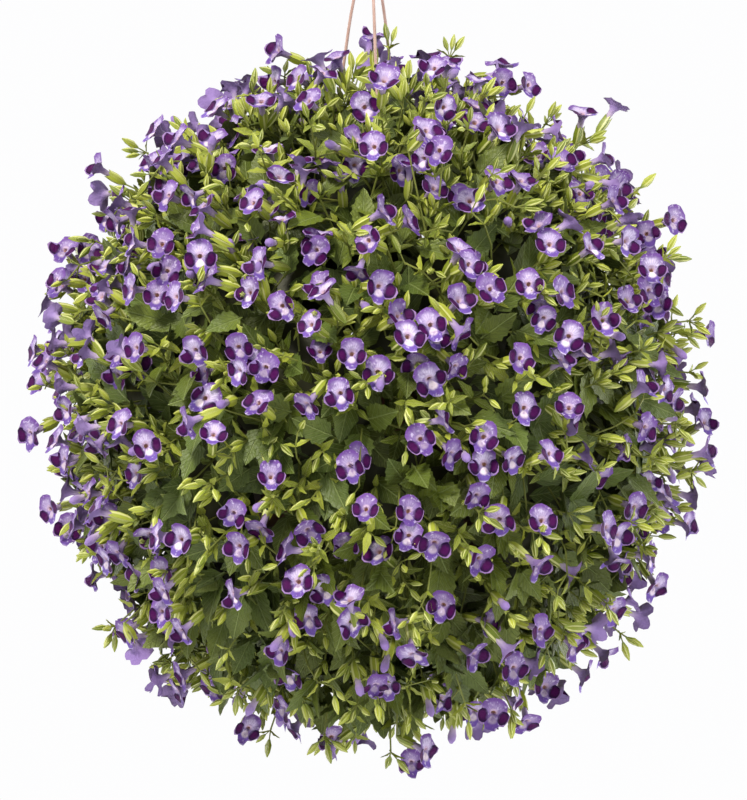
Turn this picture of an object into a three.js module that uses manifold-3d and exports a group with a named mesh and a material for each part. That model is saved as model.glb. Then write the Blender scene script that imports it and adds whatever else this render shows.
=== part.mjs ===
// A wishbone flower (torenia) hanging basket: a plastic pot of soil on three strands and a hook, and
// the leafy stems that stand in the soil, arch over the rim and end in a ball of leaves and blooms.
// Millimetres, +Z up. The origin is where the hook bears on what it hangs from.
import * as THREE from "three";
import { mergeVertices } from "three/addons/utils/BufferGeometryUtils.js";
import Module from "manifold-3d";

const wasm = await Module();
wasm.setup();

// ---------------------------------------------------------------- driving dimensions
const BALL_CENTRE_Z = -460; // the middle of the ball of foliage
const BALL_RADIUS = 258; // from there to the usual bloom
const BALL_HEIGHT_SHARE = 1.08; // the ball is a little taller than wide

const POT = { rimRadius: 115, baseRadius: 86, height: 150, wall: 3, rimBand: 14, rimStep: 3, sides: 16 };
const RIM_Z = BALL_CENTRE_Z + 20;
const SOIL_DEPTH = 22; // from the rim down to the soil
const SOIL_TOP_Z = RIM_Z - SOIL_DEPTH;
const DRAIN_HOLES = { count: 4, ringRadius: 52, radius: 6, sides: 6 };

const HOOK = { wire: 2.6, bend: 16.6, shank: 34, sides: 5 };
const HUB = { z: -76, radius: 9.5, height: 16, sides: 8 };
const STRAND = { radius: 1.5, azimuths: [-108, 12, 132], knob: 3.4, hubRadius: 5, sides: 4, steps: 24 };
const STRAND_HOLE_Z = RIM_Z - 8;

const STEM = { count: 34, radius: 2.1, hole: 6.4, buried: 16, bendRadius: 160 };
const FIRST_STEM_AZIMUTH = -55;
const CORE = { distance: 201, topRadius: 40, baseRadius: 52, through: 26, topmostShare: 0.55 };
const ROOT_RADIUS = 3; // of a bloom or leaf where it grows out of the core
const BLOOM_SITES = 464;
const LEAF_SITES = 145;
const TRIES = 40;
const GAP = 0.3;
const GOLDEN_ANGLE = 180 * (3 - Math.sqrt(5));

// ---------------------------------------------------------------- small helpers
const v3 = (x, y, z) => new THREE.Vector3(x, y, z);
const UP = v3(0, 0, 1);

// A seeded generator of numbers from 0 to 1.
function seeded(seed) {
  let state = seed >>> 0;
  return () => {
    state = (state + 0x6d2b79f5) >>> 0;
    let t = Math.imul(state ^ (state >>> 15), state | 1);
    t ^= t + Math.imul(t ^ (t >>> 7), t | 61);
    return ((t ^ (t >>> 14)) >>> 0) / 4294967296;
  };
}
const random = seeded(2718);
const within = (amount) => amount * (2 * random() - 1);

// A level direction: azimuth 0 is -Y, the front, and 90 is +X.
function level(azimuth) {
  const a = THREE.MathUtils.degToRad(azimuth);
  return v3(Math.sin(a), -Math.cos(a), 0);
}

// Evenly spread directions on a sphere, from the top down, as leaves turn round a stem.
function spreadDirections(count, firstAzimuth) {
  return Array.from({ length: count }, (_, i) => {
    const z = 1 - (2 * i + 1) / count;
    return level(firstAzimuth + i * GOLDEN_ANGLE).multiplyScalar(Math.sqrt(1 - z * z)).setZ(z);
  });
}

// A closed three.js geometry as a manifold-3d solid.
function solidOf(geometry) {
  const g = geometry.clone();
  g.deleteAttribute("normal");
  g.deleteAttribute("uv");
  const merged = mergeVertices(g, 1e-4);
  return new wasm.Manifold(
    new wasm.Mesh({
      numProp: 3,
      vertProperties: merged.attributes.position.array,
      triVerts: Uint32Array.from(merged.index.array),
    }),
  );
}

// A manifold-3d solid as a three.js geometry.
function geometryOf(solid) {
  const mesh = solid.getMesh();
  const g = new THREE.BufferGeometry();
  g.setAttribute("position", new THREE.BufferAttribute(mesh.vertProperties, 3));
  g.setIndex(new THREE.BufferAttribute(mesh.triVerts, 1));
  return g.toNonIndexed();
}

// A skin is a list of triangles, each three points.
const skinSolid = (skin) => solidOf(new THREE.BufferGeometry().setFromPoints(skin.flat()));
const volumeOf = (skin) => skin.reduce((sum, [a, b, c]) => sum + a.dot(b.clone().cross(c)), 0);
const facingOut = (skin) => (volumeOf(skin) < 0 ? skin.map(([a, b, c]) => [a, c, b]) : skin);
const fan = (tip, line) => line.slice(1).map((point, i) => [tip, point, line[i]]);

// The strip of triangles between two closed rings, which may differ in their number of points.
function strip(from, to) {
  const skin = [];
  for (let i = 0, j = 0; i < from.length || j < to.length; ) {
    const [a, b] = [from[i % from.length], to[j % to.length]];
    if (j >= to.length || (i < from.length && (i + 0.5) / from.length <= (j + 0.5) / to.length)) {
      skin.push([a, from[++i % from.length], b]);
    } else {
      skin.push([a, to[++j % to.length], b]);
    }
  }
  return skin;
}

// A tube of few sides along a curve.
function tube(curve, radius, sides, steps) {
  const section = new THREE.Shape();
  for (let i = 0; i < sides; i++) {
    const a = (2 * Math.PI * i) / sides;
    section[i ? "lineTo" : "moveTo"](radius * Math.cos(a), radius * Math.sin(a));
  }
  section.closePath();
  return new THREE.ExtrudeGeometry(section, { steps, extrudePath: curve });
}

function turned(profile, sides) {
  return new THREE.LatheGeometry(profile.map(([r, z]) => new THREE.Vector2(r, z)), sides).rotateX(Math.PI / 2);
}

function cylinder(radius, height, sides, at) {
  return new THREE.CylinderGeometry(radius, radius, height, sides).rotateX(Math.PI / 2).translate(at.x, at.y, at.z);
}

// ---------------------------------------------------------------- materials
const material = (color, roughness) => new THREE.MeshStandardMaterial({ color, roughness, metalness: 0 });
const MATERIALS = {
  pot: material(0xa8694a, 0.55),
  hanger: material(0xb98a6c, 0.5),
  soil: material(0x3a2a1f, 0.95),
  plant: material(0x6f8f3a, 0.7),
};

// ---------------------------------------------------------------- pot, soil and hanger
const baseZ = RIM_Z - POT.height;
const pegAt = (azimuth, radius, z) => level(azimuth).multiplyScalar(radius).setZ(z);

function potSolid() {
  const { rimRadius, baseRadius, wall, rimBand, rimStep, sides } = POT;
  const bandZ = RIM_Z - rimBand;
  let pot = solidOf(
    turned(
      [
        [0, baseZ],
        [baseRadius - 4, baseZ],
        [baseRadius, baseZ + 4],
        [rimRadius - rimStep, bandZ],
        [rimRadius, bandZ],
        [rimRadius, RIM_Z],
        [rimRadius - rimStep - wall, RIM_Z],
        [rimRadius - rimStep - wall, bandZ],
        [baseRadius - wall, baseZ + 6],
        [baseRadius - wall - 3, baseZ + wall],
        [0, baseZ + wall],
      ],
      sides,
    ),
  );
  for (let i = 0; i < DRAIN_HOLES.count; i++) {
    const at = pegAt((360 * (i + 0.5)) / DRAIN_HOLES.count, DRAIN_HOLES.ringRadius, baseZ);
    pot = pot.subtract(solidOf(cylinder(DRAIN_HOLES.radius, 12, DRAIN_HOLES.sides, at)));
  }
  for (const azimuth of STRAND.azimuths) {
    const outwards = new THREE.LineCurve3(
      pegAt(azimuth, rimRadius - 12, STRAND_HOLE_Z),
      pegAt(azimuth, rimRadius + 4, STRAND_HOLE_Z),
    );
    pot = pot.subtract(solidOf(tube(outwards, STRAND.radius + 3 * GAP, 6, 1)));
  }
  return pot;
}

// The soil fills the pot to a low dome, with a plain hole for each stem.
function soilSolid(stems) {
  const { rimRadius, baseRadius, wall, rimStep, rimBand, sides } = POT;
  const clear = wall + 2 * GAP;
  const share = (SOIL_TOP_Z - baseZ) / (POT.height - rimBand);
  const topRadius = baseRadius + (rimRadius - rimStep - baseRadius) * share - clear;
  let soil = solidOf(
    turned(
      [
        [0, baseZ + clear],
        [baseRadius - clear - 4, baseZ + clear],
        [baseRadius - clear, baseZ + clear + 5],
        [topRadius, SOIL_TOP_Z],
        [topRadius * 0.6, SOIL_TOP_Z + 4],
        [0, SOIL_TOP_Z + 6],
      ],
      sides,
    ),
  );
  return soil.subtract(wasm.Manifold.union(stems.map((stem) => stem.hole)));
}

function hookSolid() {
  const { wire, bend, shank } = HOOK;
  const middleZ = -bend + wire; // the wire's underside is at the origin's height
  const around = (degrees) => {
    const a = THREE.MathUtils.degToRad(degrees);
    return v3(bend * Math.cos(a), 0, middleZ + bend * Math.sin(a));
  };
  const wireLine = new THREE.CatmullRomCurve3([
    v3(0, 0, HUB.z - 4),
    v3(0, 0, HUB.z + shank * 0.4),
    v3(1.5, 0, middleZ - bend - 12),
    v3(8, 0, middleZ - bend),
    ...[-30, 10, 50, 90, 130, 170, 200].map(around),
  ]);
  const hub = turned(
    [
      [0, HUB.z - HUB.height],
      [HUB.radius - 1.5, HUB.z - HUB.height],
      [HUB.radius, HUB.z - HUB.height + 3],
      [HUB.radius * 0.8, HUB.z - 3],
      [HOOK.wire + 1.4, HUB.z],
      [0, HUB.z],
    ],
    HUB.sides,
  );
  let hook = solidOf(tube(wireLine, wire, HOOK.sides, 22)).add(solidOf(hub));
  for (const azimuth of STRAND.azimuths) {
    const socket = cylinder(STRAND.radius + 3 * GAP, 16, 6, pegAt(azimuth, STRAND.hubRadius, HUB.z - HUB.height));
    hook = hook.subtract(solidOf(socket));
  }
  return hook;
}

// A strand leaves the hub steeply, bows out over the foliage and clips through the pot's rim.
function strandCurve(azimuth) {
  const rimInside = POT.rimRadius - POT.rimStep - POT.wall;
  const stations = [
    [STRAND.hubRadius, HUB.z - HUB.height + 7],
    [STRAND.hubRadius, HUB.z - HUB.height - 4],
    [14, -132],
    [28, -214],
    [58, -330],
    [rimInside - 21, RIM_Z + 24],
    [rimInside - 15, RIM_Z],
    [rimInside - 9, STRAND_HOLE_Z],
    [rimInside, STRAND_HOLE_Z],
    [POT.rimRadius + 3, STRAND_HOLE_Z],
  ];
  return new THREE.CatmullRomCurve3(stations.map(([r, z]) => pegAt(azimuth, r, z)), false, "centripetal");
}

function strandSolid(azimuth, radius) {
  const knob = new THREE.SphereGeometry(STRAND.knob, 6, 4);
  const at = pegAt(azimuth, POT.rimRadius + STRAND.knob + 0.8, STRAND_HOLE_Z);
  return solidOf(tube(strandCurve(azimuth), radius, STRAND.sides, STRAND.steps)).add(solidOf(knob.translate(at.x, at.y, at.z)));
}

// ---------------------------------------------------------------- leafy stems
// A place in the upright plane of an azimuth: so far out from the pot's axis, so far above the ball's middle.
const onPlane = (azimuth, out, up) => level(azimuth).multiplyScalar(out).setZ(BALL_CENTRE_Z + up);
const fromMiddle = (heading, distance) => heading.clone().multiplyScalar(distance).add(v3(0, 0, BALL_CENTRE_Z));

// A stem stands in the soil. A high one goes straight to its place in the ball; a low one arches over
// the rim first and hangs down between the pot and the foliage. It may swerve sideways past what is near.
function stemLine(azimuth, heading, footRadius, swerve) {
  const elevation = Math.asin(heading.z);
  const rimUp = RIM_Z - BALL_CENTRE_Z;
  const soilUp = SOIL_TOP_Z - BALL_CENTRE_Z;
  const at = (radius, angle) => onPlane(azimuth, radius * Math.cos(angle), radius * Math.sin(angle));
  const foot = [onPlane(azimuth, footRadius, soilUp - STEM.buried), onPlane(azimuth, footRadius, soilUp + 8)];
  const bends = [];
  if (heading.z > 0.3) {
    bends.push(at(CORE.distance * 0.7, elevation + 0.12 * Math.cos(elevation)));
  } else {
    bends.push(onPlane(azimuth, footRadius + 12, rimUp + 17), onPlane(azimuth, POT.rimRadius + 20, rimUp + 18));
    const turns = Math.max(0, Math.round((0.15 - elevation) / 0.5));
    for (let k = 1; k <= turns; k++) {
      bends.push(at(STEM.bendRadius, 0.15 + ((elevation - 0.15) * k) / (turns + 0.5)));
    }
  }
  const side = level(azimuth + 90);
  for (const bend of bends) bend.addScaledVector(side, swerve);
  return new THREE.CatmullRomCurve3([...foot, ...bends, fromMiddle(heading, CORE.distance - CORE.through / 2 - 3)]);
}

// A flat face of a core, with the roots that grow out of it as holes in it.
function flatFace(corners) {
  const centre = corners.reduce((sum, corner) => sum.add(corner), v3(0, 0, 0)).divideScalar(corners.length);
  const u = corners[1].clone().sub(corners[0]).normalize();
  const normal = u.clone().cross(corners[2].clone().sub(corners[1])).normalize();
  return { corners, centre, u, v: normal.clone().cross(u), normal, holes: [] };
}

// The thick of the leaves at the end of a stem: a blunt six-sided block, its base towards the ball's middle.
function coreFaces(heading, share) {
  const across = v3(0.3, 0.4, 0.1).cross(heading).normalize();
  const turn = random() * Math.PI;
  const ring = (radius, distance) =>
    Array.from({ length: 6 }, (_, i) =>
      fromMiddle(heading, distance).add(
        across.clone().applyAxisAngle(heading, turn + (i * Math.PI) / 3).multiplyScalar(radius * share),
      ),
    );
  const base = ring(CORE.baseRadius, CORE.distance - CORE.through / 2);
  const top = ring(CORE.topRadius, CORE.distance + CORE.through / 2);
  const sides = base.map((corner, i) => flatFace([corner, base[(i + 1) % 6], top[(i + 1) % 6], top[i]]));
  return { faces: [flatFace(top), ...sides], base: flatFace(base.toReversed()) };
}

// The triangles of a flat face round the holes in it.
function faceSkin({ corners, u, v, normal, holes }) {
  const flat = (point) => new THREE.Vector2(point.dot(u), point.dot(v));
  const points = [corners, ...holes].flat();
  const holesFlat = holes.map((hole) => hole.map(flat));
  return THREE.ShapeUtils.triangulateShape(corners.map(flat), holesFlat).map((triangle) => {
    const [a, b, c] = triangle.map((i) => points[i]);
    return b.clone().sub(a).cross(c.clone().sub(a)).dot(normal) > 0 ? [a, b, c] : [a, c, b];
  });
}

// Three points round a place on a flat face, turned at random.
function rootRing(place, face) {
  const first = face.u.clone().applyAxisAngle(face.normal, within(Math.PI)).multiplyScalar(ROOT_RADIUS);
  return [0, 1, 2].map((i) => first.clone().applyAxisAngle(face.normal, (i * 2 * Math.PI) / 3).add(place));
}

// The stalk's skin, open at its top, where it grows into the core's base.
function stalkSkin(line, azimuth, base) {
  const upright = (STEM.buried + 8) / line.getLength(); // the share of it that stands straight in the soil
  const steps = Math.round(line.getLength() / 40);
  const side = level(azimuth + 90);
  const ring = (middle, along) => {
    const inPlane = side.clone().cross(along).normalize();
    const at = (a, b) => middle.clone().addScaledVector(side, a * STEM.radius).addScaledVector(inPlane, b * STEM.radius);
    return [at(0, 1), at(-0.87, -0.5), at(0.87, -0.5)];
  };
  const shares = [0, ...Array.from({ length: steps }, (_, i) => upright + (i * (1 - upright)) / steps)];
  const rings = shares.map((share) => ring(line.getPointAt(share), line.getTangentAt(share)));
  rings.push(ring(base.centre, base.normal.clone().negate()));
  const skin = [[rings[0][0], rings[0][2], rings[0][1]], ...rings.slice(1).flatMap((r, i) => strip(rings[i], r))];
  const lid = [rings.at(-1)];
  const outward = facingOut([...skin, ...lid]);
  return { skin: outward.slice(0, -1), lid: outward.slice(-1), root: rings.at(-1) };
}

// ---------------------------------------------------------------- blooms and leaves
// A bloom's rim seen from the front, as [right, up, forward]: a broad upper lip, two side lobes and a lower one.
const BLOOM_RIM = [
  [-8.5, 12.5, -1],
  [8.5, 12.5, -1],
  [13, -3.5, 1],
  [6, -8.5, 0.5],
  [0, -14, 3],
  [-6, -8.5, 0.5],
  [-13, -3.5, 1],
];
const BLOOM_THROAT = [0, 0, -6];

// Where the ball falls short of or goes past its even shape: degrees up from +X, how far, and how wide in degrees.
const HOLLOWS_AND_BULGES = [
  [30, -15, 15],
  [75, -10, 12],
  [105, -12, 15],
  [135, -15, 25],
  [172, 12, 14],
  [207, -14, 18],
  [255, 13, 20],
  [310, 13, 25],
];
const upright = (degrees) => v3(Math.cos(THREE.MathUtils.degToRad(degrees)), 0, Math.sin(THREE.MathUtils.degToRad(degrees)));

// Blooms on sprays that stand out at the ball's edge, as [across, up] from its middle.
const SPRAY_BLOOMS = [
  [-75, 285], [-30, 295], [2, 300], [20, 303], [47, 283], [94, 254], [130, 257], [174, 236], [200, 243],
  [192, 183], [215, 171], [248, 146], [241, 101], [277, 53], [276, 8], [276, -20], [275, -54], [241, -98],
  [263, -101], [238, -156], [194, -210], [146, -237], [128, -263], [86, -256], [34, -300], [-33, -279],
  [-74, -262], [-98, -269], [-180, -230], [-199, -189], [-229, -146], [-266, -89], [-220, -84], [-280, -30],
  [-276, 40], [-267, 79], [-257, 96], [-251, 122], [-203, 150], [-180, 193], [-179, 221], [-126, 240],
  [-111, 257], [-124, 203],
];
const BLOOM_LENGTH = 44;
const MOST_LEAN = 50; // degrees between the way a bloom looks and the way it grew, past which it would fold through itself

// A leaf's toothed rim, as [along, across, lift], from its stalk round to its tip and back.
const LEAF_RIM = [
  [17, 11.5, 1.5],
  [26, 8.5, 0],
  [29, 10.5, 0],
  [46, 0, -5],
  [29, -10.5, 0],
  [26, -8.5, 0],
  [17, -11.5, 1.5],
];
const LEAF_RIB = { along: 20, top: 1.2, under: -1.4 };

// Turns [right, up, forward] or [along, across, lift] into places, on three axes from an origin.
const placer = (origin, x, y, z) => ([a, b, c]) =>
  origin.clone().addScaledVector(x, a).addScaledVector(y, b).addScaledVector(z, c);

// Three points of a root, turned so that they go round the same way as a bloom's rim and start beside it.
function alignedTo(root, centre, right, up) {
  const [rimRight, rimUp] = BLOOM_RIM[0];
  const turn = (point) => {
    const fromCentre = point.clone().sub(centre);
    const past = Math.atan2(fromCentre.dot(right), fromCentre.dot(up)) - Math.atan2(rimRight, rimUp);
    return THREE.MathUtils.euclideanModulo(past + Math.PI / 3, 2 * Math.PI);
  };
  return [...root].sort((a, b) => turn(a) - turn(b));
}

function bloomSkin(face, facing, upwards, root) {
  const right = upwards.clone().cross(facing);
  const place = placer(face, right, upwards, facing);
  const rim = BLOOM_RIM.map(place);
  const centre = root[0].clone().add(root[1]).add(root[2]).divideScalar(3);
  const neck = alignedTo(root, centre, right, upwards);
  return facingOut([...fan(place(BLOOM_THROAT), [...rim, rim[0]]), ...strip(rim, neck), [neck[0], neck[1], neck[2]]]);
}

function leafSkin(start, along, lift, root) {
  const across = lift.clone().cross(along);
  const place = placer(start, along, across, lift);
  const low = [...root].sort((a, b) => a.dot(lift) - b.dot(lift));
  const [left, right] = low.slice(0, 2).sort((a, b) => b.dot(across) - a.dot(across));
  const rim = [left, ...LEAF_RIM.map(place), right];
  const top = place([LEAF_RIB.along, 0, LEAF_RIB.top]);
  const under = place([LEAF_RIB.along, 0, LEAF_RIB.under]);
  const upper = fan(top, [...rim, low[2], left]);
  const lower = fan(under, [...rim, left].reverse());
  return facingOut([...upper, ...lower, [left, right, low[2]]]);
}

// A direction bent at random by up to so many degrees.
function bent(direction, degrees) {
  const sideways = v3(within(1), within(1), within(1)).cross(direction).normalize();
  return direction.clone().applyAxisAngle(sideways, THREE.MathUtils.degToRad(within(degrees)));
}

// The part of `direction` that is square to `axis`.
const squareTo = (direction, axis) => direction.clone().projectOnPlane(axis).normalize();

// The place on a core's face nearest to `wanted`, kept off the face's edges.
function placeOnFace(face, wanted) {
  const away = wanted.clone().sub(face.centre).projectOnPlane(face.normal);
  let share = 1;
  face.corners.forEach((corner, i) => {
    const edge = face.corners[(i + 1) % face.corners.length].clone().sub(corner).normalize();
    const inwards = face.normal.clone().cross(edge);
    const room = face.centre.clone().sub(corner).dot(inwards) - ROOT_RADIUS - 1 - random();
    const towards = -away.dot(inwards);
    if (towards > room) share = Math.min(share, room / towards);
  });
  return face.centre.clone().addScaledVector(away, share);
}

// The root for what ends at `goal` and would start at `wanted`, on the face that looks most that way.
function rootFor(stem, goal, wanted) {
  const looks = (face) => goal.clone().sub(face.centre).normalize().dot(face.normal);
  const face = stem.faces.reduce((best, other) => (looks(other) > looks(best) + 0.1 ? other : best));
  const place = placeOnFace(face, wanted);
  return { face, place, ring: rootRing(place, face) };
}

// How far the blooms stand from the ball's middle: rolling, uneven, with the ball's hollows and bulges.
function reach(direction) {
  const rolling = 5 * Math.sin(4 * direction.x + 2) * Math.cos(5 * direction.z) + 5 * Math.sin(6 * direction.y);
  const swelling = HOLLOWS_AND_BULGES.reduce((sum, [angle, amount, spread]) => {
    const towards = upright(angle);
    return sum + amount * Math.exp(-((direction.angleTo(towards) / THREE.MathUtils.degToRad(spread)) ** 2));
  }, 0);
  return BALL_RADIUS + rolling + swelling + within(17);
}

// A bloom with its face at a place, on a stem; it looks outwards, more level than the ball's surface does.
function bloomFacing(face, outwards, turned, stem) {
  const facing = bent(outwards.clone().setZ(outwards.z * 0.45).normalize(), turned);
  const upwards = squareTo(bent(UP, 22), facing);
  const root = rootFor(stem, face, face.clone().addScaledVector(facing, -BLOOM_LENGTH));
  const lean = THREE.MathUtils.radToDeg(facing.angleTo(face.clone().sub(root.place)));
  return { skin: bloomSkin(face, facing, upwards, root.ring), root, leansTooFar: lean > MOST_LEAN };
}

function bloomAt(site, stem, i) {
  const direction = bent(site, 8);
  const face = direction.clone().multiplyScalar(reach(direction) + (i % 14 === 5 ? 10 + 14 * random() : 0));
  face.z = face.z * BALL_HEIGHT_SHARE + BALL_CENTRE_Z;
  return bloomFacing(face, direction, 45, stem);
}

// A bloom on a spray that stands out past the ball's edge. About half of them turn to the front.
function sprayBloomAt(site, stem, i) {
  const [across, up] = SPRAY_BLOOMS[i];
  const face = v3(across + within(2), within(22), BALL_CENTRE_Z + up + within(2));
  const outwards = face.clone().setZ(up).normalize().add(v3(0, i % 2 ? -1.2 : -0.2, 0)).normalize();
  return bloomFacing(face, outwards, 35, stem);
}

function leafAt(site, stem) {
  const direction = bent(site, 5);
  const goal = fromMiddle(direction, CORE.distance + 40);
  const root = rootFor(stem, goal, fromMiddle(direction, CORE.distance));
  const start = root.place.clone().addScaledVector(root.face.normal, 2);
  const hanging = squareTo(v3(within(1), within(1), -0.9), direction);
  const along = hanging.addScaledVector(root.face.normal, 0.5 + 0.5 * random()).normalize();
  const lift = squareTo(bent(direction, 20), along);
  return { skin: leafSkin(start, along, lift, root.ring), root };
}

// A piece's last triangle is its foot, which lies on the core and has to face into it.
const standsUp = (skin, face) => {
  const [a, b, c] = skin.at(-1);
  return b.clone().sub(a).cross(c.clone().sub(a)).dot(face.normal) < 0;
};

// Everything placed so far, with its bounding box, so that what would cross it is bent clear or left out.
const placed = [];
const addPiece = (solid, touching) => placed.push({ solid, touching, box: solid.boundingBox() });
const boxesMeet = (a, b) => [0, 1, 2].every((k) => a.min[k] < b.max[k] && b.min[k] < a.max[k]);
function isClear(solid, stem) {
  const box = solid.boundingBox();
  return placed.every(
    (other) =>
      !boxesMeet(box, other.box) || other.solid.intersect(solid).volume() <= (other.touching === stem ? 0.0005 : 0),
  );
}

function growStem(heading, i) {
  const azimuth = FIRST_STEM_AZIMUTH + i * GOLDEN_ANGLE;
  const footRadius = heading.z > 0.3 ? 20 + 76 * (1 - heading.z) : i % 2 ? 92 : 78;
  const stem = { heading, skin: [], roots: [], ...coreFaces(heading, i === 0 ? CORE.topmostShare : 1) };
  addPiece(skinSolid([...stem.faces, stem.base].flatMap(faceSkin)), stem);
  for (const swerve of [0, 5, -5, 10, -10, 15, -15, 20, -20, 26, -26]) {
    const line = stemLine(azimuth, heading, footRadius, swerve);
    const stalk = stalkSkin(line, azimuth, stem.base);
    const solid = skinSolid([...stalk.skin, ...stalk.lid]);
    if (!isClear(solid, stem)) continue;
    addPiece(solid, stem);
    stem.base.holes.push(stalk.root);
    stem.skin.push(...stalk.skin);
    const foot = line.getPointAt(0);
    const depth = STEM.buried + 20;
    stem.hole = solidOf(cylinder(STEM.hole, depth, 3, foot.setZ(foot.z + depth / 2 - 1)));
    return stem;
  }
  throw new Error(`no clear way for stem ${i + 1}`);
}

const nearestStem = (stems, site) =>
  stems.reduce((best, stem) => (stem.heading.dot(site) > best.heading.dot(site) ? stem : best));

// Grows one piece at each site, on the nearest stem, in the first of a few draws that crosses nothing.
function growAt(sites, stems, make) {
  let grown = 0;
  sites.forEach((site, i) => {
    const stem = nearestStem(stems, site);
    for (let attempt = 0; attempt < TRIES; attempt++) {
      const { skin, root, leansTooFar } = make(site, stem, i);
      const crowded = stem.roots.some((other) => other.distanceTo(root.place) < 2 * ROOT_RADIUS + 1);
      if (crowded || leansTooFar || !standsUp(skin, root.face)) continue;
      const solid = skinSolid(skin);
      if (!isClear(solid, stem)) continue;
      addPiece(solid, stem);
      stem.roots.push(root.place);
      root.face.holes.push(root.ring);
      stem.skin.push(...skin.slice(0, -1));
      grown++;
      return;
    }
  });
  return grown;
}

// The underside gets less light and fewer blooms.
const bloomsHere = (site) => site.z > -0.35 || random() < 1 + 0.75 * (site.z + 0.35);

const strands = STRAND.azimuths.map((azimuth) => strandSolid(azimuth, STRAND.radius));
for (const azimuth of STRAND.azimuths) addPiece(strandSolid(azimuth, STRAND.radius + 1.2), null);
const stems = spreadDirections(STEM.count, FIRST_STEM_AZIMUTH).map(growStem);
const bloomSites = spreadDirections(BLOOM_SITES, 20).filter(bloomsHere);
const spraySites = SPRAY_BLOOMS.map(([across, up]) => v3(across, 0, up).normalize());
const sprays = growAt(spraySites, stems, sprayBloomAt);
const blooms = growAt(bloomSites, stems, bloomAt);
const leaves = growAt(spreadDirections(LEAF_SITES, 75), stems, leafAt);

// ---------------------------------------------------------------- the basket
const basket = new THREE.Group();
function add(name, solid, look) {
  const mesh = new THREE.Mesh(geometryOf(solid), look);
  mesh.name = name;
  basket.add(mesh);
}

add("pot", potSolid(), MATERIALS.pot);
add("soil", soilSolid(stems), MATERIALS.soil);
add("hook", hookSolid(), MATERIALS.hanger);
strands.forEach((strand, i) => add(`strand_${i + 1}`, strand, MATERIALS.hanger));
stems.forEach((stem, i) => {
  const skin = [...stem.skin, ...[...stem.faces, stem.base].flatMap(faceSkin)];
  add(`leafy_stem_${String(i + 1).padStart(2, "0")}`, skinSolid(skin), MATERIALS.plant);
});

export default basket;
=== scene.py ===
# %% [markdown]
# # A wishbone flower hanging basket
# The basket is a ball of leafy stems that hides its pot. The solids already say where every bloom and every
# large leaf is. This lesson reads those places back, models a few fine blooms, buds and leaves, and plants
# copies of them there. What is too small for the solids is added between them.

# %% Load the frame
import math
import bpy
import numpy as np
from mathutils import Matrix, Vector


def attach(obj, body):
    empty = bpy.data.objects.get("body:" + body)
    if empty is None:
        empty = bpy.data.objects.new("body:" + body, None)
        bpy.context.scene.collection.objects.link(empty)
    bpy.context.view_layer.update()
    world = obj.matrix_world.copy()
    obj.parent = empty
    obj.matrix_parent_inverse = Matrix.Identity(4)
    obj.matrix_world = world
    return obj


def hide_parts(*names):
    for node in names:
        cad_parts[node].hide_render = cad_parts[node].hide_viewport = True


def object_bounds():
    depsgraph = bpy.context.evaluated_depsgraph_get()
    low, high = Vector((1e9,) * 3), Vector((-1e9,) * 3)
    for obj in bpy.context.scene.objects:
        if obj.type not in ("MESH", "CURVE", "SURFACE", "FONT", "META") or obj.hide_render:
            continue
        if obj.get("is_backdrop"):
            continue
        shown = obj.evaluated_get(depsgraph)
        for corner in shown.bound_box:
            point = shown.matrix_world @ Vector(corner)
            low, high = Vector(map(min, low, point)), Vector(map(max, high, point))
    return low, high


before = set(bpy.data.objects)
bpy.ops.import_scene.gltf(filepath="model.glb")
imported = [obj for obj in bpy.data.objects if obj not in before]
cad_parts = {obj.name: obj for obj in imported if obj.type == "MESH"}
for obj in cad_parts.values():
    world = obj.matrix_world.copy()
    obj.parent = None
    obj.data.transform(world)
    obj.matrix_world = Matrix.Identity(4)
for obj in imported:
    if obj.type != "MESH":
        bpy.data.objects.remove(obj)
cad_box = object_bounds()
MM = 0.001
print("nodes in the frame:", len(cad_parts))

# %% [markdown]
# ## Where the eye stands
# The basket is seen level from the front, from far enough that its sides hardly converge. The lens is
# worked out from the height of what it takes in at the middle of the ball.

# %% Camera
BALL_CENTRE = np.array([0.0, 0.0, -0.460])
VIEW_DISTANCE = 3.0
VIEW_HEIGHT = 0.656
VIEW_RIGHT = 0.003
SENSOR_HEIGHT = 24  # mm

eye_place = (VIEW_RIGHT, -VIEW_DISTANCE, BALL_CENTRE[2])
bpy.ops.object.camera_add(location=eye_place, rotation=(math.pi / 2, 0, 0))
camera = bpy.context.object
camera.name = "eye"
camera.data.sensor_fit = "VERTICAL"
camera.data.sensor_height = SENSOR_HEIGHT
camera.data.lens = SENSOR_HEIGHT * VIEW_DISTANCE / VIEW_HEIGHT
bpy.context.scene.camera = camera
print("lens", round(camera.data.lens, 1), "mm")

# %% [markdown]
# ## A plain pale studio
# A white room lights the basket from all round, and more strongly from its back wall. A soft, slightly warm
# lamp above and to the left of the eye gives the leaves a bright side, a weaker one keeps the right side
# from going dull, and two behind the basket, one at each side, light its edges as a bright backdrop does.

# %% Room and lamps
ROOM_WHITE = (0.985, 0.985, 0.99)
ROOM_LIGHT = 0.65  # how strongly the room lights the plant from in front
WALL_LIGHT = 1.5  # and from the bright wall behind it
WALL_STARTS = -0.2  # how far back a direction points (-1 to 1) where the light begins to grow
scene = bpy.context.scene
scene.view_settings.view_transform = "Standard"
scene.world = bpy.data.worlds.new("studio")
scene.world.use_nodes = True
room = scene.world.node_tree
backdrop = room.nodes["Background"]
backdrop.inputs["Color"].default_value = (*ROOM_WHITE, 1)
facing_wall = room.nodes.new("ShaderNodeSeparateXYZ")
room.links.new(room.nodes.new("ShaderNodeTexCoord").outputs["Generated"], facing_wall.inputs["Vector"])
wall_light = room.nodes.new("ShaderNodeMapRange")
for socket, value in zip(wall_light.inputs[1:5], (WALL_STARTS, 1.0, ROOM_LIGHT, WALL_LIGHT)):
    socket.default_value = value
room.links.new(facing_wall.outputs["Y"], wall_light.inputs["Value"])
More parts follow.
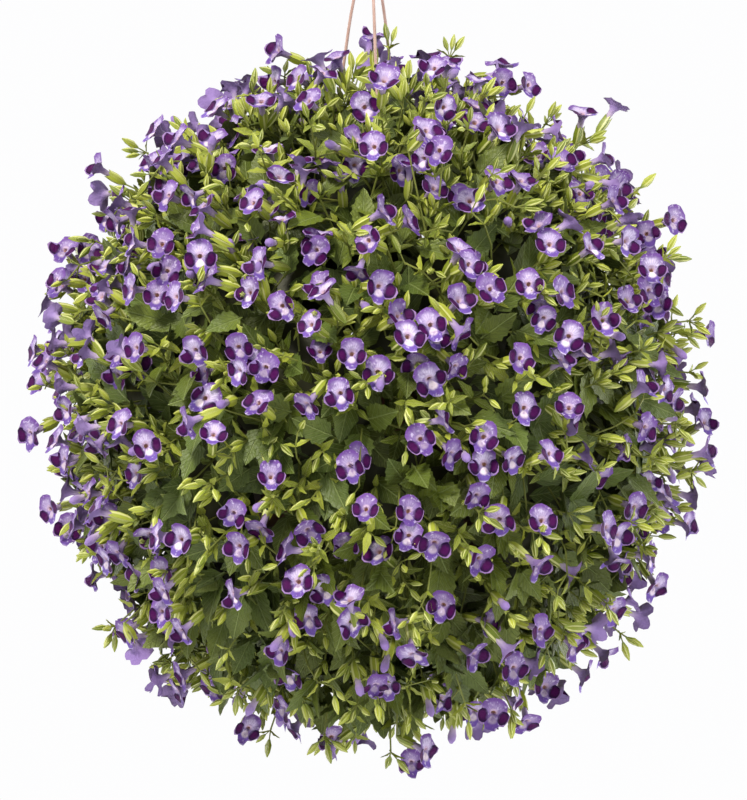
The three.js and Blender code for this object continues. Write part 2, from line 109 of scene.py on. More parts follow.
seen_or_lit = room.nodes.new("ShaderNodeMix")  # the room looks white and lights the plant less
room.links.new(wall_light.outputs["Result"], seen_or_lit.inputs["A"])
seen_or_lit.inputs["B"].default_value = 1.0
room.links.new(room.nodes.new("ShaderNodeLightPath").outputs["Is Camera Ray"], seen_or_lit.inputs["Factor"])
room.links.new(seen_or_lit.outputs["Result"], backdrop.inputs["Strength"])


def soft_lamp(name, place, size, watts, colour=(1, 1, 1)):
    """A square lamp that looks at the middle of the ball."""
    bpy.ops.object.light_add(type="AREA", location=place)
    lamp = bpy.context.object
    lamp.name = name
    lamp.data.size = size
    lamp.data.energy = watts
    lamp.data.color = colour
    towards = Vector(BALL_CENTRE) - lamp.location
    lamp.rotation_euler = towards.to_track_quat("-Z", "Y").to_euler()
    print(name, watts, "W")


soft_lamp("key_lamp", (-0.9, -1.9, 1.5), 0.7, 112, (1, 0.95, 0.86))
soft_lamp("fill_lamp", (1.8, -1.8, 0.1), 1.4, 22)
soft_lamp("left_rim_lamp", (-1.9, 0.9, 0.0), 1.5, 22)
soft_lamp("right_rim_lamp", (1.9, 0.9, -0.2), 1.5, 34)

# %% [markdown]
# ## The floor
# The basket hangs, so the floor lies well below it. It is a plain round plate that belongs to the studio.

# %% Floor
FLOOR_DROP = 0.9  # below the middle of the ball
FLOOR_RADIUS = 2.2
floor_place = (0, 0, BALL_CENTRE[2] - FLOOR_DROP)
bpy.ops.mesh.primitive_circle_add(vertices=64, radius=FLOOR_RADIUS, fill_type="NGON", location=floor_place)
floor = bpy.context.object
floor.name = "floor"
floor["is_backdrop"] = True
print("floor at", round(floor.location.z, 2), "m")

# %% [markdown]
# ## A short way to write finishes
# Every finish is a small net of nodes that ends in one principled shader. One class keeps the nets short:
# it starts a finish, adds nodes and fills their sockets, and has a word for each sum or mix that comes up
# often.


# %% Helpers for finishes
class Finish:
    """A material and the nodes that give it its colour and its relief."""

    def __init__(self, name, roughness, specular=0.4):
        self.material = bpy.data.materials.new(name)
        self.material.use_nodes = True
        self.tree = self.material.node_tree
        self.shader = self.tree.nodes["Principled BSDF"]
        self.shader.inputs["Roughness"].default_value = roughness
        self.shader.inputs["Specular IOR Level"].default_value = specular

    def add(self, kind, settings=(), **sockets):
        """Adds a node. A socket is named by its label with _ for a space, or by its number as _0, _1."""
        node = self.tree.nodes.new("ShaderNode" + kind)
        for key, value in dict(settings).items():
            setattr(node, key, value)
        for key, value in sockets.items():
            by_number = key[1:].isdigit()
            socket = node.inputs[int(key[1:])] if by_number else node.inputs[key.replace("_", " ")]
            if isinstance(value, bpy.types.NodeSocket):
                self.tree.links.new(value, socket)
            else:
                socket.default_value = value
        return node.outputs

    def math(self, operation, a, b=0.0, c=0.0):
        return self.add("Math", {"operation": operation}, _0=a, _1=b, _2=c)[0]

    def plus(self, a, b):
        return self.math("ADD", a, b)

    def minus(self, a, b):
        return self.math("SUBTRACT", a, b)

    def times(self, a, b):
        return self.math("MULTIPLY", a, b)

    def size_of(self, value):
        """The value without its sign."""
        return self.math("ABSOLUTE", value)

    def soft_step(self, value, low, high):
        """0 at `low`, 1 at `high`, smooth between. `low` may be the larger of the two."""
        lowest, highest = min(low, high), max(low, high)
        start, end = (0.0, 1.0) if low < high else (1.0, 0.0)
        settings = {"interpolation_type": "SMOOTHSTEP"}
        return self.add("MapRange", settings, _0=value, _1=lowest, _2=highest, _3=start, _4=end)[0]

    def mix(self, share, a, b):
        """Colour a where share is 0, colour b where it is 1."""
        a, b = ((*c, 1) if isinstance(c, tuple) else c for c in (a, b))
        return self.add("Mix", {"data_type": "RGBA"}, _0=share, _6=a, _7=b)[2]

    def tone(self):
        """A number from 0 to 1 that is a copy's own, so that no two copies look quite alike."""
        return self.add("Attribute", {"attribute_name": "tone"})["Fac"]

    def noise(self, scale, detail):
        """Grey clouds from 0 to 1 that are fixed to the piece."""
        place = self.add("TexCoord")["Object"]
        return self.add("TexNoise", (), Vector=place, Scale=scale, Detail=detail)[0]

    def across_and_along(self):
        """The two directions of a piece's flat map, each from 0 to 1."""
        parts = self.add("SeparateXYZ", (), Vector=self.add("UVMap", {"uv_map": "spread"})["UV"])
        return parts["X"], parts["Y"]

    def bump(self, height, strength, distance=0.0004):
        bumped = self.add("Bump", (), Strength=strength, Distance=distance, Height=height)
        self.tree.links.new(bumped["Normal"], self.shader.inputs["Normal"])

    def colour(self, socket):
        self.tree.links.new(socket, self.shader.inputs["Base Color"])


print("a finish knows:", [word for word in vars(Finish) if not word.startswith("_")])

# %% [markdown]
# ## Petals
# A bloom has a broad pale upper lip, two side lobes almost filled by a velvety dark blotch, and a violet
# lower lobe with a cream spot at the throat. The blotches have a place on the bloom, so the finish works in
# the bloom's own flat map, in millimetres right and up from the throat.

# %% Petal finishes
PETAL_MAP_MM = 36.0  # the flat map is this wide and high, with the throat in its middle
LAVENDER = (0.23, 0.175, 0.36)
PALE = (0.58, 0.51, 0.70)
VIOLET = (0.125, 0.055, 0.24)
BLUE_VIOLET = (0.14, 0.08, 0.35)
DEEP_VIOLET = (0.075, 0.03, 0.17)
MARGIN = (0.25, 0.15, 0.34)
CREAM = (0.76, 0.65, 0.72)
# the colour of the painted highlights on the petals' crinkles
PAINTED_GLINT = (0.66, 0.60, 0.80)
BLOTCH_HEART = (0.046, 0.0003, 0.052)
BLOTCH_EDGE = (0.009, 0.0003, 0.026)
THROAT = (0.46, 0.26, 0.17)
# the colour of the painted shade in the mouth of the throat
THROAT_SHADE = (0.42, 0.31, 0.45)
TUBE_NEAR, TUBE_FAR = (0.27, 0.19, 0.43), (0.52, 0.44, 0.52)
# Ovals on the bloom's face: middle right and up from the throat, half width and half height, in mm.
PALE_MIDDLE = (0, 4.6, 6.2, 6.2)
CREAM_SPOT = (0, -5.0, 4.0, 3.4)
BLOTCH = (8.8, -1.9, 4.7, 6.1)
THROAT_SHADOW = (0, 1.4, 3.3, 2.8)
THROAT_SPOT = (0, 0.3, 2.1, 1.7)
BLOTCH_LEAN = 0.16  # how much further in the blotch is for each mm down
LOWER_LOBE_SLOPE = 0.72  # how far aside the lower lobe reaches for each mm down
FAN_LINES = 23.0
PETAL_CLOUDS = dict(scale=260, detail=4.0)  # the crinkles of a petal
PETAL_RELIEF, TUBE_RELIEF = 0.0018, 0.0015


def petal_finish():
    f = Finish("petal", 0.62, 0.12)
    across, up = f.across_and_along()
    x = f.times(f.minus(across, 0.5), PETAL_MAP_MM)
    y = f.times(f.minus(up, 0.5), PETAL_MAP_MM)
    aside = f.size_of(x)
    waver = f.times(f.minus(f.noise(300, 2.0), 0.5), 0.3)

    def oval(side, middle_x, middle_y, half_width, half_height):
        """0 in the middle of an oval, 1 on its edge and more outside it."""
        dx = f.math("DIVIDE", f.minus(side, middle_x), half_width)
        dy = f.math("DIVIDE", f.minus(y, middle_y), half_height)
        return f.math("SQRT", f.plus(f.times(dx, dx), f.times(dy, dy)))

    from_throat = oval(x, 0, 0, 1, 1)  # mm
    # The upper lip: pale in its middle, violet towards its edge, with fine lines that fan out of the throat.
    to_edge = f.plus(from_throat, f.times(waver, 8.0))
    lip = f.mix(f.soft_step(oval(x, *PALE_MIDDLE), 1.4, 0.4), LAVENDER, PALE)
    lip = f.mix(f.soft_step(to_edge, 9.0, 13.5), lip, VIOLET)
    fan = f.math("COSINE", f.times(f.math("ARCTAN2", x, y), FAN_LINES))
    lines = f.times(f.soft_step(fan, 0.6, 1.0), f.soft_step(from_throat, 12.5, 8.0))
    lip = f.mix(f.times(lines, 0.4), lip, VIOLET)
    # The lower lobe: violet with a pale rim and a cream spot next to the throat.
    low = f.mix(f.soft_step(from_throat, 12.6, 14.2), BLUE_VIOLET, PALE)
    low = f.mix(f.soft_step(oval(x, *CREAM_SPOT), 1.3, 0.6), low, CREAM)
    in_lower = f.soft_step(f.plus(f.times(y, LOWER_LOBE_SLOPE), aside), 0.5, -0.5)
    above = f.minus(1.0, in_lower)
    # Both: some blooms are deeper than others, and all are mottled and carry small spots of painted
    # highlight.
    body = f.mix(in_lower, lip, low)
    body = f.mix(f.times(f.tone(), 0.75), body, f.mix(in_lower, VIOLET, DEEP_VIOLET))
    mottled = f.soft_step(f.noise(190, 4.0), 0.5, 0.7)
    body = f.mix(f.times(mottled, 0.6), body, VIOLET)
    # painted highlights: small light spots that stand in for light caught on the crinkles
    painted_glints = f.soft_step(f.noise(330, 3.0), 0.56, 0.68)
    body = f.mix(f.times(painted_glints, 0.45), body, PAINTED_GLINT)
    # The side lobes: an upright dark oval that leans in at its foot, has a feathered inner edge and lies
    # inside a thin paler margin.
    leaning = f.minus(aside, f.times(y, BLOTCH_LEAN))
    inside = f.plus(oval(leaning, *BLOTCH), waver)
    in_side = f.times(f.soft_step(inside, 1.3, 1.1), above)
    body = f.mix(f.times(in_side, f.soft_step(from_throat, 9.0, 11.0)), body, MARGIN)
    dark = f.times(f.soft_step(inside, 1.05, 0.95), above)
    dark = f.times(dark, f.soft_step(from_throat, 13.0, 12.2))
    feathered = f.soft_step(f.plus(leaning, f.times(waver, 9.0)), 3.8, 6.6)
    dark = f.times(dark, f.plus(f.times(feathered, 0.6), 0.4))
    body = f.mix(dark, body, f.mix(f.soft_step(inside, 0.35, 1.0), BLOTCH_HEART, BLOTCH_EDGE))
    # The throat: a brownish spot with a dull violet ring of painted shade round it.
    body = f.mix(f.soft_step(oval(x, *THROAT_SHADOW), 1.25, 0.7), body, THROAT_SHADE)
    body = f.mix(f.soft_step(oval(x, *THROAT_SPOT), 1.2, 0.6), body, THROAT)
    f.colour(body)
    f.bump(f.noise(**PETAL_CLOUDS), 0.8, PETAL_RELIEF)
    return f.material


def petal_outside_finish():
    """The backs of the petals and the tube: pale, and darker along the top of the tube."""
    f = Finish("petal_outside", 0.62, 0.15)
    around, along = f.across_and_along()
    top = f.soft_step(f.size_of(f.minus(around, 0.25)), 0.2, 0.04)
    top = f.times(top, f.soft_step(along, 0.2, 0.5))
    body = f.mix(f.soft_step(along, 0.1, 0.7), TUBE_NEAR, TUBE_FAR)
    body = f.mix(f.times(top, 0.45), body, DEEP_VIOLET)
    body = f.mix(f.times(f.tone(), 0.35), body, VIOLET)
    f.colour(body)
    f.bump(f.noise(**PETAL_CLOUDS), 0.8, TUBE_RELIEF)
    return f.material


print("petal colours run from", DEEP_VIOLET, "to", CREAM)

# %% [markdown]
# ## Greens
# Old leaves are dark with sunken veins, and the youngest leaves and the swollen calyces are lime. Leaves and
# calyces read a copy's own tone, so a clump holds many greens.

# %% Leaf, calyx and stem finishes
COOL_GREEN = (0.054, 0.094, 0.026)  # of whole patches of the bush
SIDE_VEINS = 44.0  # how close they follow each other
VEIN_SLANT = 0.75
# Each kind of leaf: its colour when old and when young, its veins' colour, and its share of cool green.
LEAF_COLOURS = {
    "leaf": ((0.046, 0.060, 0.003), (0.122, 0.158, 0.018), (0.21, 0.26, 0.085), 0.45),
    "leaf_underside": ((0.08, 0.10, 0.03), (0.155, 0.19, 0.05), (0.20, 0.23, 0.08), 0.2),
    "young_leaf": ((0.095, 0.138, 0.010), (0.36, 0.40, 0.045), (0.52, 0.54, 0.20), 0.0),
}
CALYX_OLD, CALYX_YOUNG, CALYX_RIB = (0.10, 0.14, 0.010), (0.37, 0.41, 0.048), (0.58, 0.59, 0.26)
CALYX_FOOT = (0.22, 0.28, 0.05)
RIBS = 5  # of a calyx


def leaf_finish(name, old, young, vein, cool_share):
    """A leaf lies in its map with the midrib up its middle and the tip at the top."""
    f = Finish(name, 0.44, 0.30)
    across, along = f.across_and_along()
    aside = f.size_of(f.minus(across, 0.5))
    waves = f.math("SINE", f.times(f.minus(along, f.times(aside, VEIN_SLANT)), SIDE_VEINS))
    side_veins = f.soft_step(waves, 0.86, 1.0)
    midrib = f.soft_step(aside, 0.045, 0.012)
    veins = f.math("MAXIMUM", side_veins, midrib)
    patchy = f.times(f.minus(f.noise(70, 4.0), 0.5), 0.5)
    share = f.add("Math", {"operation": "ADD", "use_clamp": True}, _0=f.tone(), _1=patchy)[0]
    body = f.mix(share, old, young)
    cool = f.times(f.soft_step(f.noise(9, 1.0), 0.45, 0.6), cool_share)
    body = f.mix(cool, body, COOL_GREEN)
    body = f.mix(f.times(veins, 0.55), body, vein)
    f.colour(body)
    puckered = f.minus(f.noise(420, 3.0), f.times(veins, 1.3))
    f.bump(puckered, 0.8, 0.0010)
    return f.material


def calyx_finish():
    """Lime, with paler ribs that run from its stalk to its teeth."""
    f = Finish("calyx", 0.42, 0.35)
    around, along = f.across_and_along()
    ribs = f.soft_step(f.math("COSINE", f.times(around, RIBS * 2 * math.pi)), 0.3, 0.95)
    body = f.mix(f.tone(), CALYX_OLD, CALYX_YOUNG)
    body = f.mix(f.times(ribs, 0.75), body, CALYX_RIB)
    body = f.mix(f.soft_step(along, 0.25, 0.0), body, CALYX_FOOT)
    f.colour(body)
    f.bump(f.noise(500, 2.0), 0.3)
    return f.material


def stem_finish(name, dark, light):
    f = Finish(name, 0.55, 0.3)
    f.colour(f.mix(f.noise(60, 2.0), dark, light))
    f.bump(f.noise(700, 2.0), 0.3)
    return f.material


PLANT_FINISHES = {
    "petal": petal_finish(),
    "petal_outside": petal_outside_finish(),
    "calyx": calyx_finish(),
    **{name: leaf_finish(name, *colours) for name, colours in LEAF_COLOURS.items()},
    "stem": stem_finish("stem", (0.10, 0.12, 0.016), (0.20, 0.22, 0.05)),
    # near-black, coloured as twigs and painted shade for the dark middle of the bush
    "twigs_and_painted_shade": stem_finish("twigs_and_painted_shade", (0.012, 0.012, 0.002), (0.034, 0.036, 0.006)),
}
SLOTS = list(PLANT_FINISHES)
print("plant finishes:", SLOTS)

# %% [markdown]
# ## Helpers for modelling
# A bloom, a calyx and a bud are all round pieces, so each is turned as on a lathe: a circle, extruded and
# scaled ring by ring, and closed with a flat face at both ends. The vertices are then known ring by ring,
# and a lobe or a rib is a small change to each ring. Sculpting would do for one, but each lobe would then
# be work by hand, and a change to its size would mean starting again.

# %% Rings and shapes
def nothing_selected():
    if bpy.context.object and bpy.context.object.mode != "OBJECT":
        bpy.ops.object.mode_set(mode="OBJECT")
    bpy.ops.object.select_all(action="DESELECT")


def edit_all():
    """Opens the active piece in edit mode with all of it selected."""
    bpy.ops.object.mode_set(mode="EDIT")
    bpy.ops.mesh.select_all(action="SELECT")


def merge_points(apart):
    """Merges the active piece's points that are nearer than `apart` mm and turns its faces outwards."""
    edit_all()
    bpy.ops.mesh.remove_doubles(threshold=apart * MM)
    bpy.ops.mesh.normals_make_consistent(inside=False)
    bpy.ops.object.mode_set(mode="OBJECT")


def ringed(name, sides, rings):
    """A turned shape with open ends. `rings` is a list of (radius, height) in mm."""
    nothing_selected()
    radius, height = rings[0]
    bpy.ops.mesh.primitive_circle_add(
        vertices=sides, radius=radius * MM, fill_type="NOTHING", location=(0, 0, height * MM)
    )
    piece = bpy.context.object
    piece.name = name
    bpy.ops.object.transform_apply(location=True, rotation=True, scale=True)
    edit_all()
    for next_radius, next_height in rings[1:]:
        rise = (0, 0, (next_height - height) * MM)
        bpy.ops.mesh.extrude_region_move(TRANSFORM_OT_translate={"value": rise})
        grow = next_radius / radius
        bpy.ops.transform.resize(value=(grow, grow, 1), center_override=(0, 0, next_height * MM))
        radius, height = next_radius, next_height
    bpy.ops.object.mode_set(mode="OBJECT")
    return piece


def vertices_of(piece):
    points = np.empty(len(piece.data.vertices) * 3)
    piece.data.vertices.foreach_get("co", points)
    return points.reshape(-1, 3) / MM


def set_vertices(piece, points):
    piece.data.vertices.foreach_set("co", (np.asarray(points) * MM).ravel())
    piece.data.update()


def cap_ends(piece):
    """Fills the open ends, so that the shape is closed."""
    nothing_selected()
    bpy.context.view_layer.objects.active = piece
    piece.select_set(True)
    bpy.ops.object.mode_set(mode="EDIT")
    bpy.ops.mesh.select_all(action="DESELECT")
    bpy.ops.mesh.select_mode(type="EDGE")
    bpy.ops.mesh.select_non_manifold()
    bpy.ops.mesh.edge_face_add()
    bpy.ops.mesh.select_mode(type="VERT")
    bpy.ops.mesh.select_all(action="SELECT")
    bpy.ops.mesh.normals_make_consistent(inside=False)
    bpy.ops.object.mode_set(mode="OBJECT")
    bpy.ops.object.shade_smooth()


class Shape:
    """A finished model piece as plain numbers, ready to be planted many times."""

    def __init__(self, piece, flat_map, slot_of_face):
        mesh = piece.data
        self.points = vertices_of(piece)
        self.corners = np.empty(len(mesh.loops), np.int32)
        mesh.loops.foreach_get("vertex_index", self.corners)
        self.sizes = np.empty(len(mesh.polygons), np.int32)
        mesh.polygons.foreach_get("loop_total", self.sizes)
        slots = [slot_of_face(polygon) for polygon in mesh.polygons]
        self.slots = np.array([SLOTS.index(slot) for slot in slots], np.int32)
        corners = zip(self.corners, np.repeat(slots, self.sizes))
        self.map = np.array([flat_map(*self.points[corner], slot) for corner, slot in corners])
        bpy.data.objects.remove(piece)

    def joined(self, *others):
        """This shape and others as one."""
        for other in others:
            self.corners = np.r_[self.corners, other.corners + len(self.points)]
            self.points = np.vstack([self.points, other.points])
            self.sizes = np.r_[self.sizes, other.sizes]
            self.slots = np.r_[self.slots, other.slots]
            self.map = np.vstack([self.map, other.map])
        return self


def plain_shape(name, sides, rings, finish):
    """A turned shape with closed ends and one finish that needs no flat map."""
    piece = ringed(name, sides, rings)
    cap_ends(piece)
    return Shape(piece, lambda *corner: (0.5, 0.5), lambda polygon: finish)


def turn_share(x, y):
    """How far round a place lies, from 0 to 1."""
    return (math.atan2(y, x) / (2 * math.pi)) % 1.0


STALK_SIDES = 5
TWIG = plain_shape("twig", STALK_SIDES, [(1, 0), (1, 1)], "stem")  # length and radius 1
print("faces of a length of thin stem:", len(TWIG.sizes))

# %% [markdown]
# ## The corolla
# The corolla is the coloured trumpet of a bloom. Seen from the front its edge runs round four lobes, and
# the edge is a formula: in each lobe's sector it swells from one notch to the tip and back to the next
# notch. The turned shape is pulled out to that edge, the tube is left round, and each lobe gets its own
# lean. No two real blooms open alike, so it is made in four ways.

# %% One corolla
# Each lobe: the sector it fills, its radius at both notches and at its tip, its bluntness and its steps.
LOBES = {
    "upper": dict(start=22, end=158, notches=(11.2, 11.2), tip=14.6, blunt=0.4, steps=7),
    "left": dict(start=158, end=238, notches=(11.2, 11.0), tip=13.6, blunt=0.45, steps=5),
    "lower": dict(start=238, end=302, notches=(11.0, 11.0), tip=14.4, blunt=0.5, steps=4),
    "right": dict(start=302, end=382, notches=(11.0, 11.2), tip=13.6, blunt=0.45, steps=5),
}
COROLLA_SIDES = sum(lobe["steps"] for lobe in LOBES.values())
# Each way a bloom opens: how far its lobes lean forward, how strongly its edge ruffles and from where.
WAYS_TO_OPEN = [
    dict(upper=-1.0, left=1.0, lower=3.0, right=1.0, ruffle=0.8, start=0.0),
    dict(upper=-5.5, left=2.5, lower=4.5, right=1.0, ruffle=1.3, start=1.3),
    dict(upper=3.0, left=3.5, lower=1.0, right=4.5, ruffle=1.1, start=2.9),
    dict(upper=-3.0, left=5.5, lower=-2.0, right=3.0, ruffle=1.6, start=4.4),
]
RUFFLES = 5  # waves round the edge
CLEFT_PLACE, CLEFT_WIDTH, CLEFT_DEPTH = 90, 9, 1.0  # the small dent at the top of the upper lip
TUBE_MAP_MM = 25.0  # the length of tube that the flat map of a petal's outside takes in


def edge_line(way):
    """Angle, edge radius and lean at each step round the bloom."""
    line = []
    for name, lobe in LOBES.items():
        for i in range(lobe["steps"]):
            share = i / lobe["steps"]
            swell = math.sin(math.pi * share) ** lobe["blunt"]
            angle = math.radians(lobe["start"] + share * (lobe["end"] - lobe["start"]))
            ruffle = way["ruffle"] * math.sin(RUFFLES * angle + way["start"])
            notch = lobe["notches"][0] * (1 - share) + lobe["notches"][1] * share
            radius = notch + (lobe["tip"] + 0.5 * ruffle - notch) * swell
            line.append((angle, radius, way[name] * swell + ruffle))
    line = np.array(line)
    cleft = np.exp(-(((np.degrees(line[:, 0]) - CLEFT_PLACE) / CLEFT_WIDTH) ** 2))
    line[:, 1] -= CLEFT_DEPTH * cleft
    return line


# Rings of the corolla: share of the edge radius (0 keeps the ring round), radius, height.
COROLLA_RINGS = [
    (0, 1.3, -6.5),
    (0, 2.3, -2.4),
    (0.6, 7.0, -0.6),
    (1.0, 12.0, 0.0),
    (0.45, 6.0, -2.2),
    (0, 3.0, -7.0),
    (0, 2.2, -18.0),
]
FRONT_RINGS = 4  # how many of them make the bloom's face


def corolla(way):
    edge = edge_line(way)
    piece = ringed("corolla", COROLLA_SIDES, [(radius, height) for _, radius, height in COROLLA_RINGS])
    points = vertices_of(piece).reshape(len(COROLLA_RINGS), COROLLA_SIDES, 3)
    for ring, (share, radius, height) in zip(points, COROLLA_RINGS):
        out = share * edge[:, 1] if share else np.full(COROLLA_SIDES, radius)
        ring[:, 0] = out * np.cos(edge[:, 0])
        ring[:, 1] = out * np.sin(edge[:, 0])
        ring[:, 2] = height + share**2 * edge[:, 2]
    set_vertices(piece, points.reshape(-1, 3))
    cap_ends(piece)

    def flat_map(x, y, z, slot):
        if slot == "petal":
            return x / PETAL_MAP_MM + 0.5, y / PETAL_MAP_MM + 0.5
        return turn_share(x, y), min(1.0, max(0.0, -z / TUBE_MAP_MM))

    def finish_of(polygon):
        return "petal" if max(polygon.vertices) < FRONT_RINGS * COROLLA_SIDES else "petal_outside"

    return Shape(piece, flat_map, finish_of)


COROLLAS = [corolla(way) for way in WAYS_TO_OPEN]
print("corolla faces:", len(COROLLAS[0].sizes))

# %% [markdown]
# ## Calyx, bud and stalk
# The calyx is a swollen bag with five winged ribs that end in teeth. A turned shape with ten sides has a
# rib at every other side. Narrowed at its top it is a bud, which gets a short stalk, and with a rolled-up
# corolla in it it is a bloom about to open. An open bloom's stalk is added when its place is known.

# %% Calyx, bud and opening bloom
CALYX_BASE = -34.0  # mm behind the face of the bloom
CALYX_RINGS = [(2.9, -16.5), (3.5, -15.0), (4.2, -21), (3.6, -28), (0.9, CALYX_BASE)]
CALYX_TEETH = 2.6
BUD_RINGS = [(0.4, 0), (2.2, -5), (2.8, -11), (0.9, -17)]
BUD_STALK = [(0.6, -16), (0.66, -28)]
OPENING_RINGS = [(1.2, 0), (3.2, -3), (3.6, -6.5), (2.5, -12), (2.9, -20)]


def ribbed(name, rings, teeth, wings):
    """A turned shape with RIBS wings, whose second ring runs out into teeth."""
    sides = 2 * RIBS
    piece = ringed(name, sides, rings)
    points = vertices_of(piece).reshape(len(rings), sides, 3)
    on_rib = np.arange(sides) % 2 == 0
    points[:, :, :2] *= np.where(on_rib, 1 + wings, 1 - wings)[:, None]
    points[1, :, 2] += np.where(on_rib, teeth, -teeth * 0.3)
    set_vertices(piece, points.reshape(-1, 3))
    cap_ends(piece)
    top, bottom = rings[0][1], rings[-1][1]

    def flat_map(x, y, z, _finish):
        return turn_share(x, y), (z - bottom) / max(top - bottom, 1)

    return Shape(piece, flat_map, lambda polygon: "calyx")


def rolled_corolla():
    """A corolla that is still rolled up: a violet tube with a blunt tip."""
    piece = ringed("rolled_corolla", 8, OPENING_RINGS)
    cap_ends(piece)

    def flat_map(_x, _y, z, _finish):
        return 0.5, min(1.0, -z / TUBE_MAP_MM)

    return Shape(piece, flat_map, lambda polygon: "petal_outside")


BLOOMS = [shape.joined(ribbed("calyx", CALYX_RINGS, CALYX_TEETH, 0.16)) for shape in COROLLAS]
BUD = ribbed("bud", BUD_RINGS, 0, 0.2).joined(plain_shape("bud_stalk", STALK_SIDES, BUD_STALK, "stem"))
OPENING = rolled_corolla().joined(ribbed("opening_calyx", CALYX_RINGS, CALYX_TEETH, 0.14))
print("faces of bloom, bud and opening bloom:", len(BLOOMS[0].sizes), len(BUD.sizes), len(OPENING.sizes))

# %% [markdown]
# ## Leaves
# A leaf of this plant is an oval with a saw-toothed edge. It starts as a flat grid. Its outline is a formula
# with a tooth at every second step, its midrib lies in a fold and its tip droops. It is then doubled, turned
# over and set a little lower, so it is a thin closed blade with a top and a paler underside that share one
# edge. A solidify modifier would close it too, but with a band of faces round the edge of every leaf.

# %% Leaf shapes
LEAF_STALK = 0.08  # the share of a leaf's length that is its stalk
LEAF_BROADEST, LEAF_FULLNESS = 0.72, 0.85  # less than 1: broadest below the middle, and with full shoulders
LEAF_SWEEP = 0.12  # how far the edge is swept back for each mm aside
LEAF_WAVES, LEAF_WAVE_HEIGHT = 5, 0.4
LEAF_THICKNESS = 0.7


def leaf(name, length, width, steps, across, top, under, fold=0.25, droop=5.0, tooth=0.09):
    """A leaf of so many mm, with `steps` teeth and gaps along it and `across` faces from edge to edge."""
    nothing_selected()
    bpy.ops.mesh.primitive_grid_add(x_subdivisions=across, y_subdivisions=steps, size=2 * MM)
    piece = bpy.context.object
    piece.name = name
    points = vertices_of(piece)
    side = points[:, 0].copy()  # -1 to 1
    share = (points[:, 1] + 1) / 2  # 0 at the stalk, 1 at the tip
    step = np.rint(share * steps)
    blade = np.clip((share - LEAF_STALK) / (1 - LEAF_STALK), 0, 1)
    swell = np.sin(math.pi * blade**LEAF_BROADEST) ** LEAF_FULLNESS + 0.03 * (1 - blade)
    aside = np.abs(side)
    half = width / 2 * swell * (1 + np.where(step % 2 == 0, -tooth, tooth) * aside)
    wave = LEAF_WAVE_HEIGHT * np.sin(LEAF_WAVES * math.pi * share) * aside
    points[:, 0] = side * half
    points[:, 1] = share * length - aside * half * LEAF_SWEEP
    points[:, 2] = np.abs(points[:, 0]) * fold - droop * share**2 + wave
    set_vertices(piece, points)
    edit_all()
    bpy.ops.mesh.duplicate()
    bpy.ops.mesh.flip_normals()
    bpy.ops.object.mode_set(mode="OBJECT")
    doubled = vertices_of(piece)
    underside = doubled[len(points) :]
    inner = (aside < 0.99) & (share > 0.01) & (share < 0.99)
    underside[inner, 2] -= LEAF_THICKNESS
    set_vertices(piece, doubled)
    merge_points(0.02)
    bpy.ops.object.shade_smooth()

    def flat_map(x, y, _z, _finish):
        return 0.5 + x / width, y / length

    return Shape(piece, flat_map, lambda polygon: top if polygon.normal[2] > 0 else under)


LARGE_LEAF = leaf("large_leaf", 46, 25, 14, 4, "leaf", "leaf_underside")
MIDDLE_LEAF = leaf("middle_leaf", 36, 20, 12, 2, "leaf", "leaf_underside", droop=4, tooth=0.1)
INNER_LEAF = leaf("inner_leaf", 36, 19, 6, 2, "leaf", "leaf_underside", droop=4, tooth=0.1)
YOUNG_LEAF = leaf("young_leaf", 19, 6.4, 6, 2, "young_leaf", "young_leaf", fold=0.4, droop=4, tooth=0.1)
print("leaf faces:", [len(shape.sizes) for shape in (LARGE_LEAF, MIDDLE_LEAF, INNER_LEAF, YOUNG_LEAF)])

# %% [markdown]
# ## Reading the plant back
# In the solids a bloom is the only place where a point has seven neighbours at a bloom's own distances, and
# a large leaf the only one with ten at a leaf's. Round such a point the neighbours give the piece's place,
# its turn and the root that it grows from. Reading the solids keeps the two models alike, whatever changes.

# %% Read blooms and leaves
CENTRE = BALL_CENTRE / MM
UPPER_LIP, SIDE_LOBE = (8.5, 12.5, -1), (13, -3.5, 1)  # points of a bloom's edge, right, up and forward
THROAT_DEPTH = 6.0
LEAF_TIP, LEAF_SHOULDER, LEAF_RIB = (46, 0, -5), (17, 11.5, 1.5), (20, 0, 1.2)
THROAT_NEIGHBOURS, RIB_NEIGHBOURS, UNDER_NEIGHBOURS = 7, 10, 9
LEAF_ROOT = 6.0  # a leaf's root lies this near to where its blade starts
STALK_REACH = 190.0  # from the middle of the ball out to where a stem's stalk ends and its core begins
SAME_MM = 0.06


def unit(vector):
    return vector / np.linalg.norm(vector)


def square_to(axis, vector):
    """`vector` without what it has along `axis`, one unit long."""
    return unit(vector - axis * (vector @ axis))


def welded(node):
    """A node's points in mm, each once, and the set of neighbours of each point."""
    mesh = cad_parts[node].data
    points = np.empty(len(mesh.vertices) * 3)
    mesh.vertices.foreach_get("co", points)
    corners = np.empty(len(mesh.polygons) * 3, np.int32)
    mesh.polygons.foreach_get("vertices", corners)
    points, where = np.unique(np.round(points.reshape(-1, 3) / MM, 2), axis=0, return_inverse=True)
    beside = [set() for _ in points]
    for triangle in where.reshape(-1)[corners].reshape(-1, 3):
        for corner in triangle:
            beside[corner].update(int(other) for other in triangle if other != corner)
    return points, beside


def at_distance(points, here, others, wanted):
    """Those of `others` that lie `wanted` mm from `here`."""
    gaps = np.linalg.norm(points[others] - points[here], axis=1)
    return [other for other, gap in zip(others, gaps) if abs(gap - wanted) < SAME_MM]


